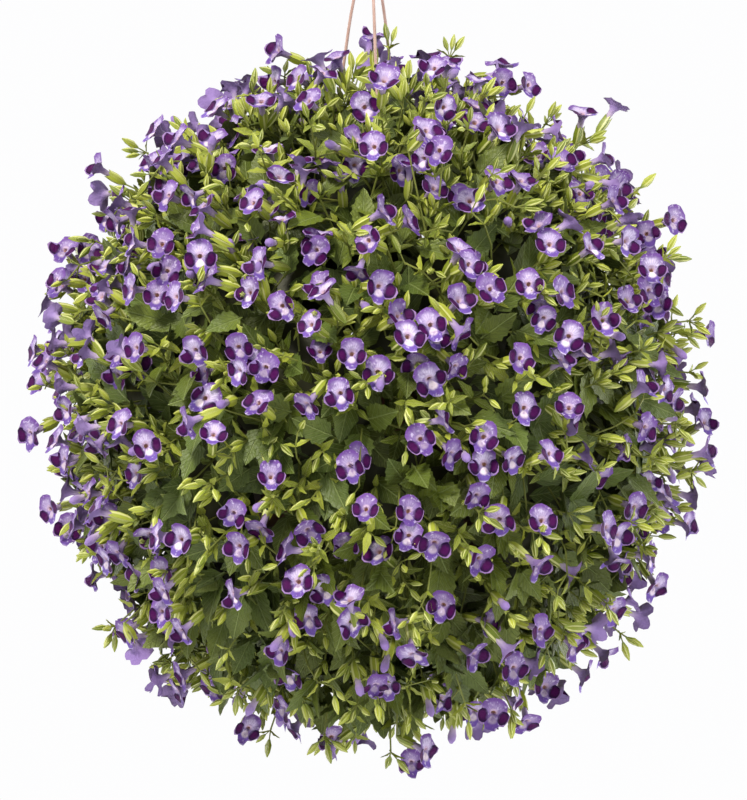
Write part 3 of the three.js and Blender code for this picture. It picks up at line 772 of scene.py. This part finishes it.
def read_bloom(points, beside, throat):
    rim = sorted(beside[throat])
    middle = (0, 0, -THROAT_DEPTH)
    sides = at_distance(points, throat, rim, math.dist(SIDE_LOBE, middle))
    lips = at_distance(points, throat, rim, math.dist(UPPER_LIP, middle))
    pairs = [(a, b) for a in lips for b in at_distance(points, a, lips, 2 * UPPER_LIP[0]) if a < b]
    if len(sides) != 2 or len(pairs) != 1:
        return None
    right = unit(points[sides[0]] - points[sides[1]])
    up = square_to(right, points[list(pairs[0])].mean(0) - points[sides].mean(0))
    facing = np.cross(right, up)
    if facing @ (points[rim].mean(0) - points[throat]) < 0:
        right, facing = -right, -facing
    # The lips stand further back than the side lobes, so both directions are turned back by that slant.
    slant = math.atan2(UPPER_LIP[2] - SIDE_LOBE[2], UPPER_LIP[1] - SIDE_LOBE[1])
    turn = Matrix.Rotation(-slant, 3, Vector(right))
    up, facing = (np.array(turn @ Vector(v)) for v in (up, facing))
    place = points[throat] + facing * THROAT_DEPTH
    root = set().union(*(beside[v] for v in rim)) - set(rim) - {throat}
    return dict(place=place, right=right, up=up, facing=facing, root=root, own={throat, *rim})


def read_leaf(points, beside, rib):
    around = sorted(beside[rib])
    tips = at_distance(points, rib, around, math.dist(LEAF_TIP, LEAF_RIB))
    shoulders = at_distance(points, rib, around, math.dist(LEAF_SHOULDER, LEAF_RIB))
    if len(tips) != 1 or len(shoulders) != 2:
        return None
    unders = [v for v in beside[tips[0]] if v != rib and len(beside[v]) == UNDER_NEIGHBOURS]
    if len(unders) != 1:
        return None
    lift = unit(points[rib] - points[unders[0]])
    along = square_to(lift, points[tips[0]] - points[shoulders].mean(0))
    place = points[rib] - along * LEAF_RIB[0] - lift * LEAF_RIB[2]
    root = {v for v in around if np.linalg.norm(points[v] - place) < LEAF_ROOT}
    return dict(place=place, along=along, lift=lift, root=root, own={rib, unders[0], *around} - root)


def read_stem(node):
    points, beside = welded(node)
    blooms, leaves = [], []
    for v, others in enumerate(beside):
        if len(others) == THROAT_NEIGHBOURS and (bloom := read_bloom(points, beside, v)):
            blooms.append(bloom)
        elif len(others) == RIB_NEIGHBOURS and (grown := read_leaf(points, beside, v)):
            leaves.append(grown)
    for grown in blooms + leaves:
        grown["root_place"] = points[sorted(grown["root"])].mean(0)
    used = set().union(*(grown["own"] | grown["root"] for grown in blooms + leaves))
    free = np.array([v for v in range(len(points)) if v not in used])
    reach = np.linalg.norm(points[free] - CENTRE, axis=1)
    core, stalk = points[free[reach > STALK_REACH]], points[free[reach <= STALK_REACH]]
    return dict(blooms=blooms, leaves=leaves, core=core, stalk=stalk)


stems = {name: read_stem(name) for name in sorted(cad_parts) if name.startswith("leafy_stem")}
for kind in ("blooms", "leaves"):
    print(kind, "read:", sum(len(stem[kind]) for stem in stems.values()))
print("core corners:", sorted({len(stem["core"]) for stem in stems.values()}))

# %% [markdown]
# ## What holds the leaves
# Under the leaves each stem is a stalk that comes up from the soil and a blunt core that it ends in. What is
# left of a solid when its blooms and leaves are known is those two. The core has two six-sided ends, and the
# stalk's rings are found one after another, so the stalk can be followed from the core down to the soil.

# %% Read the bush's inner parts
CORE_SIDES = 6
STALK_RING = 4.3  # points nearer than this belong to one ring of a stalk


def rings_in_line(points, start):
    """Groups a stalk's points into rings and gives the line from `start` through their middles."""
    left, middles = list(points), []
    while left:
        gaps = np.linalg.norm(np.array(left) - left[0], axis=1)
        middles.append(np.mean([p for p, gap in zip(left, gaps) if gap < STALK_RING], axis=0))
        left = [p for p, gap in zip(left, gaps) if gap >= STALK_RING]
    line = [start]
    while middles:
        nearest = min(range(len(middles)), key=lambda i: np.linalg.norm(middles[i] - line[-1]))
        line.append(middles.pop(nearest))
    return line


for stem in stems.values():
    order = np.argsort(np.linalg.norm(stem["core"] - CENTRE, axis=1))
    stem["core_base"], stem["core_top"] = stem["core"][order[:CORE_SIDES]], stem["core"][order[CORE_SIDES:]]
    stem["axis"] = unit(stem["core_top"].mean(0) - CENTRE)
    stem["line"] = rings_in_line(stem["stalk"], stem["core_base"].mean(0))
print("stalk rings:", sorted({len(stem["line"]) for stem in stems.values()}))

# %% [markdown]
# ## Planting
# Thousands of copies as objects of their own would be slow to handle. A thicket gathers planted shapes as
# plain numbers instead and becomes one mesh at the end, with a finish for each slot. One thicket for each
# leafy stem keeps the pieces few, and each of them light enough to handle.

# %% Thicket
SMOOTH_BELOW = math.radians(60)  # edges that are bent less than this look round


def frame_along(forward, hint=(0.0, 0.0, 1.0)):
    """Right, up and forward directions for a copy that points along `forward`, with its up near `hint`."""
    forward = unit(np.asarray(forward, float))
    up = np.asarray(hint, float) - forward * (np.asarray(hint, float) @ forward)
    if np.linalg.norm(up) < 0.05:
        up = np.array([1.0, 0, 0]) - forward * forward[0]
    up = unit(up)
    return np.array([np.cross(up, forward), up, forward])


class Thicket:
    """Copies of shapes that become one piece."""

    def __init__(self):
        self.parts, self.count = [], 0

    def plant(self, shape, place, axes, scale=1.0, tone=0.5):
        """Puts a copy at `place` in mm. `axes` are the copy's own right, up and forward directions."""
        points = (shape.points * scale) @ np.array(axes) + place
        self.parts.append((shape, points, self.count, tone))
        self.count += len(points)

    def twig(self, start, end, radius):
        """A straight thin stem from one place to another."""
        run = np.asarray(end) - start
        self.plant(TWIG, start, frame_along(run), (radius, radius, np.linalg.norm(run)))

    def piece(self, name):
        shapes = [shape for shape, *_ in self.parts]
        points = np.vstack([points for _, points, _, _ in self.parts]) * MM
        corners = np.concatenate([shape.corners + first for shape, _, first, _ in self.parts])
        sizes = np.concatenate([shape.sizes for shape in shapes])
        mesh = bpy.data.meshes.new(name)
        mesh.vertices.add(len(points))
        mesh.vertices.foreach_set("co", points.ravel())
        mesh.loops.add(len(corners))
        mesh.loops.foreach_set("vertex_index", corners)
        mesh.polygons.add(len(sizes))
        mesh.polygons.foreach_set("loop_start", np.r_[0, np.cumsum(sizes)[:-1]])
        mesh.update(calc_edges=True)
        for finish in PLANT_FINISHES.values():
            mesh.materials.append(finish)
        mesh.polygons.foreach_set("material_index", np.concatenate([shape.slots for shape in shapes]))
        spread = mesh.uv_layers.new(name="spread")
        spread.data.foreach_set("uv", np.vstack([shape.map for shape in shapes]).ravel())
        tones = np.concatenate([np.full(len(points), tone) for _, points, _, tone in self.parts])
        mesh.attributes.new("tone", "FLOAT", "POINT").data.foreach_set("value", tones)
        mesh.validate()
        piece = bpy.data.objects.new(name, mesh)
        scene.collection.objects.link(piece)
        nothing_selected()
        bpy.context.view_layer.objects.active = piece
        piece.select_set(True)
        bpy.ops.object.shade_smooth_by_angle(angle=SMOOTH_BELOW)
        return piece


# The dark middle of a stem's head, a block coloured as twigs and painted shade, with a base radius and a
# height of one unit.
BUSH_CORE = plain_shape("bush_core", CORE_SIDES, [(1, 0), (0.8, 1)], "twigs_and_painted_shade")
thickets = [Thicket() for _ in stems]
print("thickets:", len(thickets))

# %% [markdown]
# ## Where young shoots go
# Young shoots fill the gaps between the blooms. Their places could be drawn at random, but would then come
# in knots and holes. So candidate places are spread evenly over the ball, the ones furthest from any bloom
# or large leaf are taken first, and no two shoots stand closer than a set distance.

# %% Sites over the ball
GOLDEN_ANGLE = math.pi * (3 - math.sqrt(5))
BALL_STRETCH = np.array([1.0, 1.0, 1.08])
CANDIDATES = 4000
SHOOT_REACH = 240.0
SHOOT_SPACING = 21.0
BLOOM_CLEARANCE = 8.0  # a shoot stands at least so far from a bloom or a large leaf
LEAF_MIDDLE = 25.0  # from where a large leaf starts
BOX_SPARE = 4.0  # how far the end of a stem may pass the box of the solids
# Two gaps in the crown, through which the strands show: how far right of the middle, and half how wide.
CROWN_GAPS = ((-24, 15), (5, 11))
CROWN_REACH, CROWN_UP, CROWN_BACK = 245, 224, 25


def even_directions(count):
    """Directions spread evenly over a sphere."""
    i = np.arange(count)
    height = 1 - (2 * i + 1) / count
    ring = np.sqrt(1 - height**2)
    return np.column_stack([ring * np.cos(i * GOLDEN_ANGLE), ring * np.sin(i * GOLDEN_ANGLE), height])


def on_ball(direction, reach):
    return CENTRE + direction * BALL_STRETCH * reach


BOX_LOW, BOX_HIGH = (np.array(corner) / MM for corner in cad_box)


def shortened(base, run, more):
    """`run` made shorter until its end, with `more` mm beyond it, keeps to the box of the solids."""
    while True:
        end = base + run + unit(run) * more
        if np.all(end > BOX_LOW - BOX_SPARE) and np.all(end < BOX_HIGH + BOX_SPARE):
            return run
        run = run * 0.9


def in_crown_gap(direction, reach=CROWN_REACH):
    x, y, up = direction * BALL_STRETCH * reach
    return up > CROWN_UP and y < CROWN_BACK and any(abs(x - right) < half for right, half in CROWN_GAPS)


def angle_mm(cosine):
    """The distance over the ball between directions with this cosine."""
    return np.arccos(np.clip(cosine, -1, 1)) * SHOOT_REACH


busy = [bloom["place"] for stem in stems.values() for bloom in stem["blooms"]]
busy += [leaf["place"] + leaf["along"] * LEAF_MIDDLE for stem in stems.values() for leaf in stem["leaves"]]
busy = (np.array(busy) - CENTRE) / BALL_STRETCH
busy /= np.linalg.norm(busy, axis=1)[:, None]
candidates = even_directions(CANDIDATES)
room = angle_mm(candidates @ busy.T).min(axis=1)
shoot_sites = np.empty((0, 3))
for i in np.argsort(-room):
    spaced = np.all(angle_mm(shoot_sites @ candidates[i]) > SHOOT_SPACING)
    if spaced and room[i] > BLOOM_CLEARANCE and not in_crown_gap(candidates[i]):
        shoot_sites = np.vstack([shoot_sites, candidates[i]])
print("young shoots:", len(shoot_sites))

# %% [markdown]
# ## Directions with a little chance in them
# Nothing that grows points quite where its neighbour does. Every draw comes from one generator with a fixed
# seed, so the basket looks grown and is still the same each time.

# %% Draws
SEED = 462
rng = np.random.default_rng(SEED)


def tilted(direction, angle, turn):
    """`direction` leaned by `angle`, towards a side chosen by `turn`, and that side."""
    right, up, forward = frame_along(direction)
    side = right * math.cos(turn) + up * math.sin(turn)
    return forward * math.cos(angle) + side * math.sin(angle), side


def leaned(direction, least, most):
    """`direction` leaned by an angle from `least` to `most` towards any side, and that side."""
    return tilted(direction, rng.uniform(least, most), rng.uniform(0, 2 * math.pi))


print("seed of every draw:", SEED)

# %% [markdown]
# ## Blooms and leaves of the solids
# A bloom is planted at its face, with its calyx behind it and a stalk back to its root. Each is leaned and
# rolled a little from where its solid looks, and some are narrower than others, so that no two look stamped.
# A bloom that stands out past the ball has leaf pairs and buds along its stalk.

# %% Blooms, leaf pairs and buds
STALK_RADIUS, FINE_RADIUS = 0.8, 0.7
CALYX_SUNK = 0.5  # how far a stalk reaches into its calyx
BUD_LENGTH = 26.0  # from where it grows to its tip
SPRAY_REACH = 268.0  # blooms further out than this stand past the ball


def opened_bloom(thicket, place, axes, scale, tone):
    """A bloom that opens in one of the ways, some narrower than others."""
    right, up, facing = axes
    narrow = rng.uniform(0.86, 1.02)
    thicket.plant(BLOOMS[rng.integers(len(BLOOMS))], place, (right * narrow, up, facing), scale, tone)


def calyx_foot(place, facing, scale):
    return place + facing * (CALYX_BASE + CALYX_SUNK) * scale


def plant_bloom(thicket, bloom):
    scale = rng.uniform(0.86, 1.0)
    facing, _ = leaned(bloom["facing"], 0, 0.5)
    axes = frame_along(facing, bloom["up"] + bloom["right"] * rng.uniform(-0.55, 0.55))
    opened_bloom(thicket, bloom["place"], axes, scale, rng.uniform(0, 1))
    thicket.twig(bloom["root_place"], calyx_foot(bloom["place"], facing, scale), STALK_RADIUS)


def plant_leaf(thicket, shape, place, along, lift, scale, tone):
    thicket.plant(shape, place, (np.cross(along, lift), along, lift), scale, tone)


def plant_leaf_pair(thicket, place, lean, angle, turn, size, tone):
    for side in (0, math.pi):
        along, _ = tilted(lean, angle + rng.uniform(-0.2, 0.2), turn + side)
        scale = size * rng.uniform(0.65, 1.15)
        plant_leaf(thicket, YOUNG_LEAF, place, along, square_to(along, lean), scale, tone)


def plant_buds(thicket, place, lean, count):
    for _ in range(count):
        along, _ = leaned(lean, 0.2, 0.95)
        scale = rng.uniform(0.6, 0.95)
        tip = place + along * BUD_LENGTH * scale
        thicket.plant(BUD, tip, frame_along(along), scale, rng.uniform(0.1, 1))


def plant_spray(thicket, bloom):
    if np.linalg.norm((bloom["place"] - CENTRE) / BALL_STRETCH) < SPRAY_REACH:
        return
    run = bloom["place"] + bloom["facing"] * CALYX_BASE - bloom["root_place"]
    lean = unit(run)
    for share, size in ((0.5, 1.15), (0.85, 0.9)):
        place = bloom["root_place"] + run * share
        plant_leaf_pair(thicket, place, lean, 0.9, rng.uniform(0, math.pi), size, rng.uniform(0.2, 0.9))
        plant_buds(thicket, place, lean, rng.integers(1, 3))


# %% [markdown]
# ## Young shoots
# A shoot is a short stem with one or two pairs of narrow leaves and a few buds, and about one in six carries
# a bloom that is about to open. Shoots differ in what they carry, so that they don't read as one stamp.

# %% Young and old shoots
SHOOT_BASE = 200.0
SHOOT_LENGTHS = (24, 44)
BUD_ROOM = 26  # mm to keep free for the buds beyond a stem's end
YOUNGER_RIGHT = 0.3  # shoots on the sunny right are younger and paler
OPENING_EACH = 6  # one shoot in so many carries a bloom that is about to open
OPENING_REACH = 36.0
LEAVES_IN_CLUMP = 3
CLUMP_DEPTHS = (214, 232)
DROOP = np.array([0, 0, -0.3])
HANGING = np.array([0, 0, -0.8])


def plant_shoot(thicket, direction, number):
    lean, _ = leaned(direction, 0, 0.45)
    base = on_ball(direction, SHOOT_BASE)
    tip = base + shortened(base, lean * rng.uniform(*SHOOT_LENGTHS), BUD_ROOM)
    thicket.twig(base, tip, STALK_RADIUS)
    turn = rng.uniform(0, math.pi)
    tone = rng.uniform(0.0, 0.8) + YOUNGER_RIGHT * max(0, direction[0])
    leafy = number % 3 == 1
    plant_leaf_pair(thicket, base + (tip - base) * 0.5, lean, 1.0, turn, 1.1, tone * 0.6)
    if leafy:
        plant_leaf_pair(thicket, tip, lean, 0.7, turn + math.pi / 2, 0.9, tone)
    plant_buds(thicket, tip, lean, rng.integers(1, 4) if leafy else rng.integers(3, 6))
    if number % OPENING_EACH == 0:
        along = unit(leaned(lean, 0.1, 0.8)[0] + DROOP)
        place = tip + along * OPENING_REACH
        thicket.plant(OPENING, place, frame_along(along), 1.0, rng.uniform(0.2, 1))
        thicket.twig(tip, tip + along * 4, FINE_RADIUS)


def plant_leaf_clump(thicket, direction):
    """A few toothed leaves that hang between the blooms where a shoot has grown old."""
    hanging = unit(direction * 0.6 + HANGING)
    for _ in range(LEAVES_IN_CLUMP):
        along, _ = leaned(hanging, 0.1, 0.9)
        place = on_ball(direction, rng.uniform(*CLUMP_DEPTHS))
        lift = square_to(along, direction)
        plant_leaf(thicket, MIDDLE_LEAF, place, along, lift, rng.uniform(0.75, 1.2), rng.uniform(0.2, 1))


# %% [markdown]
# ## Thin arching stems
# Some stems run low over the leaves, and others reach out past the blooms. Both are short straight lengths
# along a bowed line, which is enough for something so thin, and both carry young leaves and end in buds.
# They are made shorter where they would pass the box of the solids by more than a few millimetres.

# %% Trailing stems and long shoots
TRAIL_REACH, TRAIL_LENGTHS, TRAIL_RISE, TRAIL_ROOM = 222, (34, 58), 12, 24
LONG_BASE, LONG_LENGTHS, LONG_RADIUS = 205, (44, 70), 0.75


def plant_arch(thicket, start, run, bow, shares, radius):
    """A thin stem along `run`, bowed out by `bow`. Gives its places at `shares` of its length."""
    stations = [start + run * share + bow * math.sin(math.pi * share) for share in shares]
    for near, far in zip(stations, stations[1:]):
        thicket.twig(near, far, radius)
    return stations


def plant_trailing_stem(thicket, direction):
    """A thin stem that runs over the leaves in a low arch and ends in a bud or two."""
    lean, _ = leaned(direction, 0.8, 1.3)
    start = on_ball(direction, TRAIL_REACH)
    run = shortened(start, lean * rng.uniform(*TRAIL_LENGTHS), TRAIL_ROOM)
    stations = plant_arch(thicket, start, run, direction * TRAIL_RISE, (0, 0.3, 0.65, 1), FINE_RADIUS)
    plant_leaf_pair(thicket, stations[2], lean, 0.9, rng.uniform(0, math.pi), 0.8, rng.uniform(0.4, 1))
    plant_buds(thicket, stations[-1], lean, rng.integers(1, 3))


def plant_long_shoot(thicket, direction):
    """A thin arching stem that reaches past the blooms, with leaf pairs along it and buds at its end."""
    lean, side = leaned(direction, 0.1, 0.6)
    base = on_ball(direction, LONG_BASE)
    run = shortened(base, lean * rng.uniform(*LONG_LENGTHS), BUD_ROOM)
    bow = side * rng.uniform(3, 8)
    stations = plant_arch(thicket, base, run, bow, (0, 0.3, 0.6, 1), LONG_RADIUS)
    turn, tone = rng.uniform(0, math.pi), rng.uniform(0.15, 0.9)
    for place, size in zip(stations[1:], (1.15, 0.95, 0.7)):
        plant_leaf_pair(thicket, place, lean, 0.95, turn, size, tone)
        turn += math.pi / 2
    plant_buds(thicket, stations[-1], lean, rng.integers(2, 5))


# %% [markdown]
# ## Second and half-hidden blooms
# Real blooms come in twos and threes, and some are only half seen between the others. So some blooms get a
# neighbour a little behind them that looks another way, and a few more are planted further in.

# %% Extra blooms
HIDDEN_DEPTHS = (232, 246)
HIDDEN_LEVEL = np.array([1, 1, 0.45])  # half-hidden blooms look out more level than the ball does


def plant_extra_bloom(thicket, place, facing, root, scales, tones, radius):
    """A bloom that is rolled a little either way, with a stalk from `root`."""
    axes = frame_along(facing, (rng.uniform(-0.4, 0.4), rng.uniform(-0.4, 0.4), 1))
    scale = rng.uniform(*scales)
    opened_bloom(thicket, place, axes, scale, rng.uniform(*tones))
    thicket.twig(root, calyx_foot(place, facing, scale), radius)


def plant_half_hidden_bloom(thicket, direction):
    place = on_ball(direction, rng.uniform(*HIDDEN_DEPTHS))
    facing, _ = leaned(unit(direction * HIDDEN_LEVEL), 0.1, 0.9)
    root = on_ball(direction, SHOOT_BASE)
    plant_extra_bloom(thicket, place, facing, root, (0.8, 0.95), (0.2, 1), STALK_RADIUS)


def plant_neighbour(thicket, bloom):
    side, _ = leaned(bloom["facing"], 1.3, 1.8)
    place = bloom["place"] + side * rng.uniform(18, 27) - bloom["facing"] * rng.uniform(3, 12)
    facing, _ = leaned(unit(bloom["facing"] + side * 0.8), 0, 1.0)
    plant_extra_bloom(thicket, place, facing, bloom["root_place"], (0.8, 0.98), (0.1, 1), FINE_RADIUS)


# %% [markdown]
# ## The bush behind it
# Under the blooms are older leaves that lean well over, darker the deeper they lie, for their age and as
# painted shade. Behind them is the dark middle of the bush, which is nothing but twigs and shade. A simple
# dark block coloured as twigs and painted shade does for that, as only slits of it show.

# %% Inner leaves and the dark middle of twigs and painted shade
CORE_SPREAD = 1.24  # how much wider than its solid each stem's dark middle of twigs and painted shade is
CORE_DEPTH = 16.0  # and how much lower, to leave room for the inner leaves
CORE_TONE = 0.1
STEM_RADIUS = 2.1


def plant_inner_leaf(thicket, shape, direction, depths, tones):
    depth, tone = rng.uniform(*depths), rng.uniform(*tones)
    lean, out = leaned(direction, 0.5, 1.2)
    place = on_ball(direction, depth) - out * 12
    plant_leaf(thicket, shape, place, lean, square_to(lean, direction), rng.uniform(0.8, 1.15), tone)


def plant_core(thicket, stem):
    """The dark middle of a stem's head, twigs and painted shade, and the stalk below it."""
    base, top = stem["core_base"].mean(0), stem["core_top"].mean(0)
    corner = stem["core_base"][0] - base
    rise = unit(top - base)
    x = square_to(rise, corner)
    wide = np.linalg.norm(corner) * CORE_SPREAD
    high = (top - base) @ rise - CORE_DEPTH
    thicket.plant(BUSH_CORE, base, (x, np.cross(rise, x), rise), (wide, wide, high), CORE_TONE)
    for start, end in zip(stem["line"], stem["line"][1:]):
        thicket.twig(start, end, STEM_RADIUS)


# %% [markdown]
# ## Planting the whole basket
# Each stem first gets what its solid says. Then the sites over the ball are gone through in order, and each
# copy goes into the thicket of the stem that points nearest to it.

# %% Plant the stems
# The share of the blooms that have a second one beside them, and how it changes to the right and upwards.
WITH_NEIGHBOUR, NEIGHBOUR_RIGHT, NEIGHBOUR_UP = 0.46, -0.20, 0.34
HIDDEN_BLOOM_EACH = 12  # one shoot in so many is a half-hidden bloom instead
HIDDEN_LOWEST = -0.8  # none of them is at the very bottom
OLD_SHOOTS, OLD_SHOOTS_DOWN = 0.2, 0.45  # the share of old shoots, and how it grows downwards
LONG_SHOOTS, KEPT_LEFT, KEPT_RIGHT = 260, 0.45, 0.9  # the sun has drawn out more of them on the right
TRAILING_STEMS = 230
# the inner leaves take darker tones than the outer ones, partly for their age and partly as painted shade
# deep in the bush
INNER_LEAVES, INNER_DEPTHS, INNER_TONES = 1300, (186, 212), (0, 0.5)
OUTER_LEAVES, OUTER_DEPTHS, OUTER_TONES = 620, (212, 232), (0.2, 1)
axes_of_stems = np.array([stem["axis"] for stem in stems.values()])


def thicket_at(direction):
    return thickets[int(np.argmax(axes_of_stems @ direction))]


for thicket, stem in zip(thickets, stems.values()):
    plant_core(thicket, stem)
    for bloom in stem["blooms"]:
        plant_bloom(thicket, bloom)
        plant_spray(thicket, bloom)
        direction = (bloom["place"] - CENTRE) / SHOOT_REACH
        share = WITH_NEIGHBOUR + NEIGHBOUR_RIGHT * direction[0] + NEIGHBOUR_UP * direction[2]
        if rng.random() < share and not in_crown_gap(direction, SHOOT_REACH):
            plant_neighbour(thicket, bloom)
    for grown in stem["leaves"]:
        place, along, lift = grown["place"], grown["along"], grown["lift"]
        plant_leaf(thicket, LARGE_LEAF, place, along, lift, 1.0, rng.uniform(0, 0.8))

for number, direction in enumerate(shoot_sites):
    thicket = thicket_at(direction)
    if number % HIDDEN_BLOOM_EACH == 1 and direction[2] > HIDDEN_LOWEST:
        plant_half_hidden_bloom(thicket, direction)
    elif rng.random() < OLD_SHOOTS - OLD_SHOOTS_DOWN * direction[2]:
        plant_leaf_clump(thicket, direction)
    else:
        plant_shoot(thicket, direction, number)
for direction in even_directions(LONG_SHOOTS):
    kept = KEPT_LEFT + (KEPT_RIGHT - KEPT_LEFT) * (direction[0] + 1) / 2
    if rng.random() < kept and not in_crown_gap(direction):
        plant_long_shoot(thicket_at(direction), direction)
for direction in even_directions(TRAILING_STEMS):
    if not in_crown_gap(direction):
        plant_trailing_stem(thicket_at(direction), direction)
for direction in even_directions(INNER_LEAVES):
    plant_inner_leaf(thicket_at(direction), INNER_LEAF, direction, INNER_DEPTHS, INNER_TONES)
for direction in even_directions(OUTER_LEAVES):
    if not in_crown_gap(direction):
        plant_inner_leaf(thicket_at(direction), MIDDLE_LEAF, direction, OUTER_DEPTHS, OUTER_TONES)
print("copies planted:", sum(len(thicket.parts) for thicket in thickets))

# %% [markdown]
# ## From thickets to pieces
# Each thicket becomes one piece. It rides on the basket's one body and stands in for its stem's solid.

# %% Make the growth
faces = 0
for name, thicket in zip(stems, thickets):
    piece = thicket.piece(name + "_growth")
    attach(piece, "root")
    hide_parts(name)
    faces += sum(len(polygon.vertices) - 2 for polygon in piece.data.polygons)
print("triangles in the growth:", faces)

# %% [markdown]
# ## The hanger
# A bent wire hook ends in a small moulded hub, and three strands run from the hub to the pot's rim. The hub
# is turned. Wire and strands are curves with a round section that are made meshes, because a curve keeps
# an even thickness round a bend, where a row of extruded rings would be pinched.

# %% Hanger finish
TAN_DARK, TAN_LIGHT = (0.27, 0.155, 0.125), (0.44, 0.30, 0.26)


def hanger_finish():
    f = Finish("hanger", 0.38, 0.45)
    f.colour(f.mix(f.noise(90, 3.0), TAN_DARK, TAN_LIGHT))
    f.bump(f.noise(1500, 2.0), 0.15)
    return f.material


HANGER = hanger_finish()
print("hanger finish:", HANGER.name)

# %% Bent wire and strands
WIRE_RADIUS, HOOK_BEND, HOOK_SHANK = 2.6, 16.6, 34.0
HUB_TOP, HUB_HEIGHT = -76.0, 16.0
STRAND_RADIUS, STRAND_KNOB = 1.3, 3.4
ROD_SMOOTH_BELOW = math.radians(50)
STRAND_AZIMUTHS = (-108, 12, 132)
RIM_RADIUS, STRAND_HOLE_Z = 115.0, -448.0
KNOB_GAP = 0.8  # between the rim and the knob that holds a strand in its hole


def round_rod(name, stations, radius, sides=12):
    """A rod of round section through places in mm, closed at both ends."""
    nothing_selected()
    bpy.ops.curve.primitive_bezier_curve_add()
    rod = bpy.context.object
    rod.name = name
    line = rod.data.splines[0]
    line.bezier_points.add(len(stations) - 2)
    for knot, station in zip(line.bezier_points, stations):
        knot.co = Vector(station) * MM
        knot.handle_left_type = knot.handle_right_type = "AUTO"
    rod.data.bevel_depth = radius * MM
    rod.data.bevel_resolution = sides // 4 - 1
    rod.data.resolution_u = 8
    rod.data.use_fill_caps = True
    bpy.ops.object.convert(target="MESH")
    bpy.ops.object.shade_smooth_by_angle(angle=ROD_SMOOTH_BELOW)
    return bpy.context.object


def one_piece(name, pieces, finish, node):
    """Joins pieces, gives them one finish, and hides the solid that they stand for."""
    nothing_selected()
    for piece in pieces:
        piece.select_set(True)
        piece.data.materials.clear()
    bpy.context.view_layer.objects.active = pieces[0]
    bpy.ops.object.join()
    joined = bpy.context.object
    joined.name = name
    joined.data.materials.append(finish)
    merge_points(0.01)
    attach(joined, "root")
    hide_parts(node)
    print(name, "faces:", len(joined.data.polygons))


bend_middle = WIRE_RADIUS - HOOK_BEND
bends = [math.radians(degrees) for degrees in (-30, 10, 50, 90, 130, 170, 200)]
wire_line = [
    (0, 0, HUB_TOP - 4),
    (0, 0, HUB_TOP + HOOK_SHANK * 0.4),
    (1.5, 0, bend_middle - HOOK_BEND - 12),
    (8, 0, bend_middle - HOOK_BEND),
] + [(HOOK_BEND * math.cos(a), 0, bend_middle + HOOK_BEND * math.sin(a)) for a in bends]
hub_bottom = HUB_TOP - HUB_HEIGHT
hub_rings = [(4.2, HUB_TOP), (7.6, HUB_TOP - 3), (9.2, HUB_TOP - 9)]
hub_rings += [(9.5, hub_bottom + 3), (8.0, hub_bottom)]
hub = ringed("hub", 28, hub_rings)
cap_ends(hub)
wire = round_rod("hook_wire", wire_line, WIRE_RADIUS, 16)
one_piece("hook_and_hub", [wire, hub], HANGER, "hook")

# Places along a strand, out from the middle and up, to where it goes through its hole in the rim.
STRAND_STATIONS = [(5, -85), (5, -96), (14, -132), (28, -214), (58, -330), (88, -416), (94, -440)]
STRAND_STATIONS += [(out, STRAND_HOLE_Z) for out in (100, 109, 118)]
knob_out = RIM_RADIUS + STRAND_KNOB + KNOB_GAP
for number, azimuth in enumerate(STRAND_AZIMUTHS, 1):
    out_x, out_y = math.sin(math.radians(azimuth)), -math.cos(math.radians(azimuth))
    route = [(out * out_x, out * out_y, z) for out, z in STRAND_STATIONS]
    knob_place = Vector((knob_out * out_x, knob_out * out_y, STRAND_HOLE_Z)) * MM
    nothing_selected()
    bpy.ops.mesh.primitive_uv_sphere_add(
        segments=16, ring_count=10, radius=STRAND_KNOB * MM, location=knob_place
    )
    bpy.ops.object.transform_apply(location=True)
    bpy.ops.object.shade_smooth()
    knob = bpy.context.object
    rod = round_rod("strand_rod", route, STRAND_RADIUS)
    one_piece(f"hanging_strand_{number}", [rod, knob], HANGER, f"strand_{number}")

# %% [markdown]
# ## Pot and soil
# Both solids have the right shape already, and almost nothing of them shows between the leaves. They keep
# their shape and get a moulded plastic and a crumbly soil finish.

# %% Pot and soil finishes
POT_DARK, POT_LIGHT = (0.12, 0.050, 0.025), (0.18, 0.080, 0.042)
SOIL_DARK, SOIL_LIGHT = (0.012, 0.007, 0.004), (0.075, 0.042, 0.022)


def pot_finish():
    f = Finish("pot_plastic", 0.5, 0.4)
    f.colour(f.mix(f.noise(25, 3.0), POT_DARK, POT_LIGHT))
    f.bump(f.noise(1200, 2.0), 0.2)
    return f.material


def soil_finish():
    f = Finish("potting_soil", 0.95, 0.2)
    f.colour(f.mix(f.noise(220, 6.0), SOIL_DARK, SOIL_LIGHT))
    f.bump(f.noise(350, 8.0), 0.9, 0.003)
    return f.material


for node, finish in (("pot", pot_finish()), ("soil", soil_finish())):
    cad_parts[node].material_slots[0].material = finish
    print(node, "has the finish", finish.name)

# %% [markdown]
# ## The sizes at the end
# The box of the solids and the box of what is shown are given side by side, so that both can be compared.

# %% Show the sizes
boxes = {"cad": cad_box, "visual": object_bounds()}
{name: [[float(n) for n in corner] for corner in box] for name, box in boxes.items()}
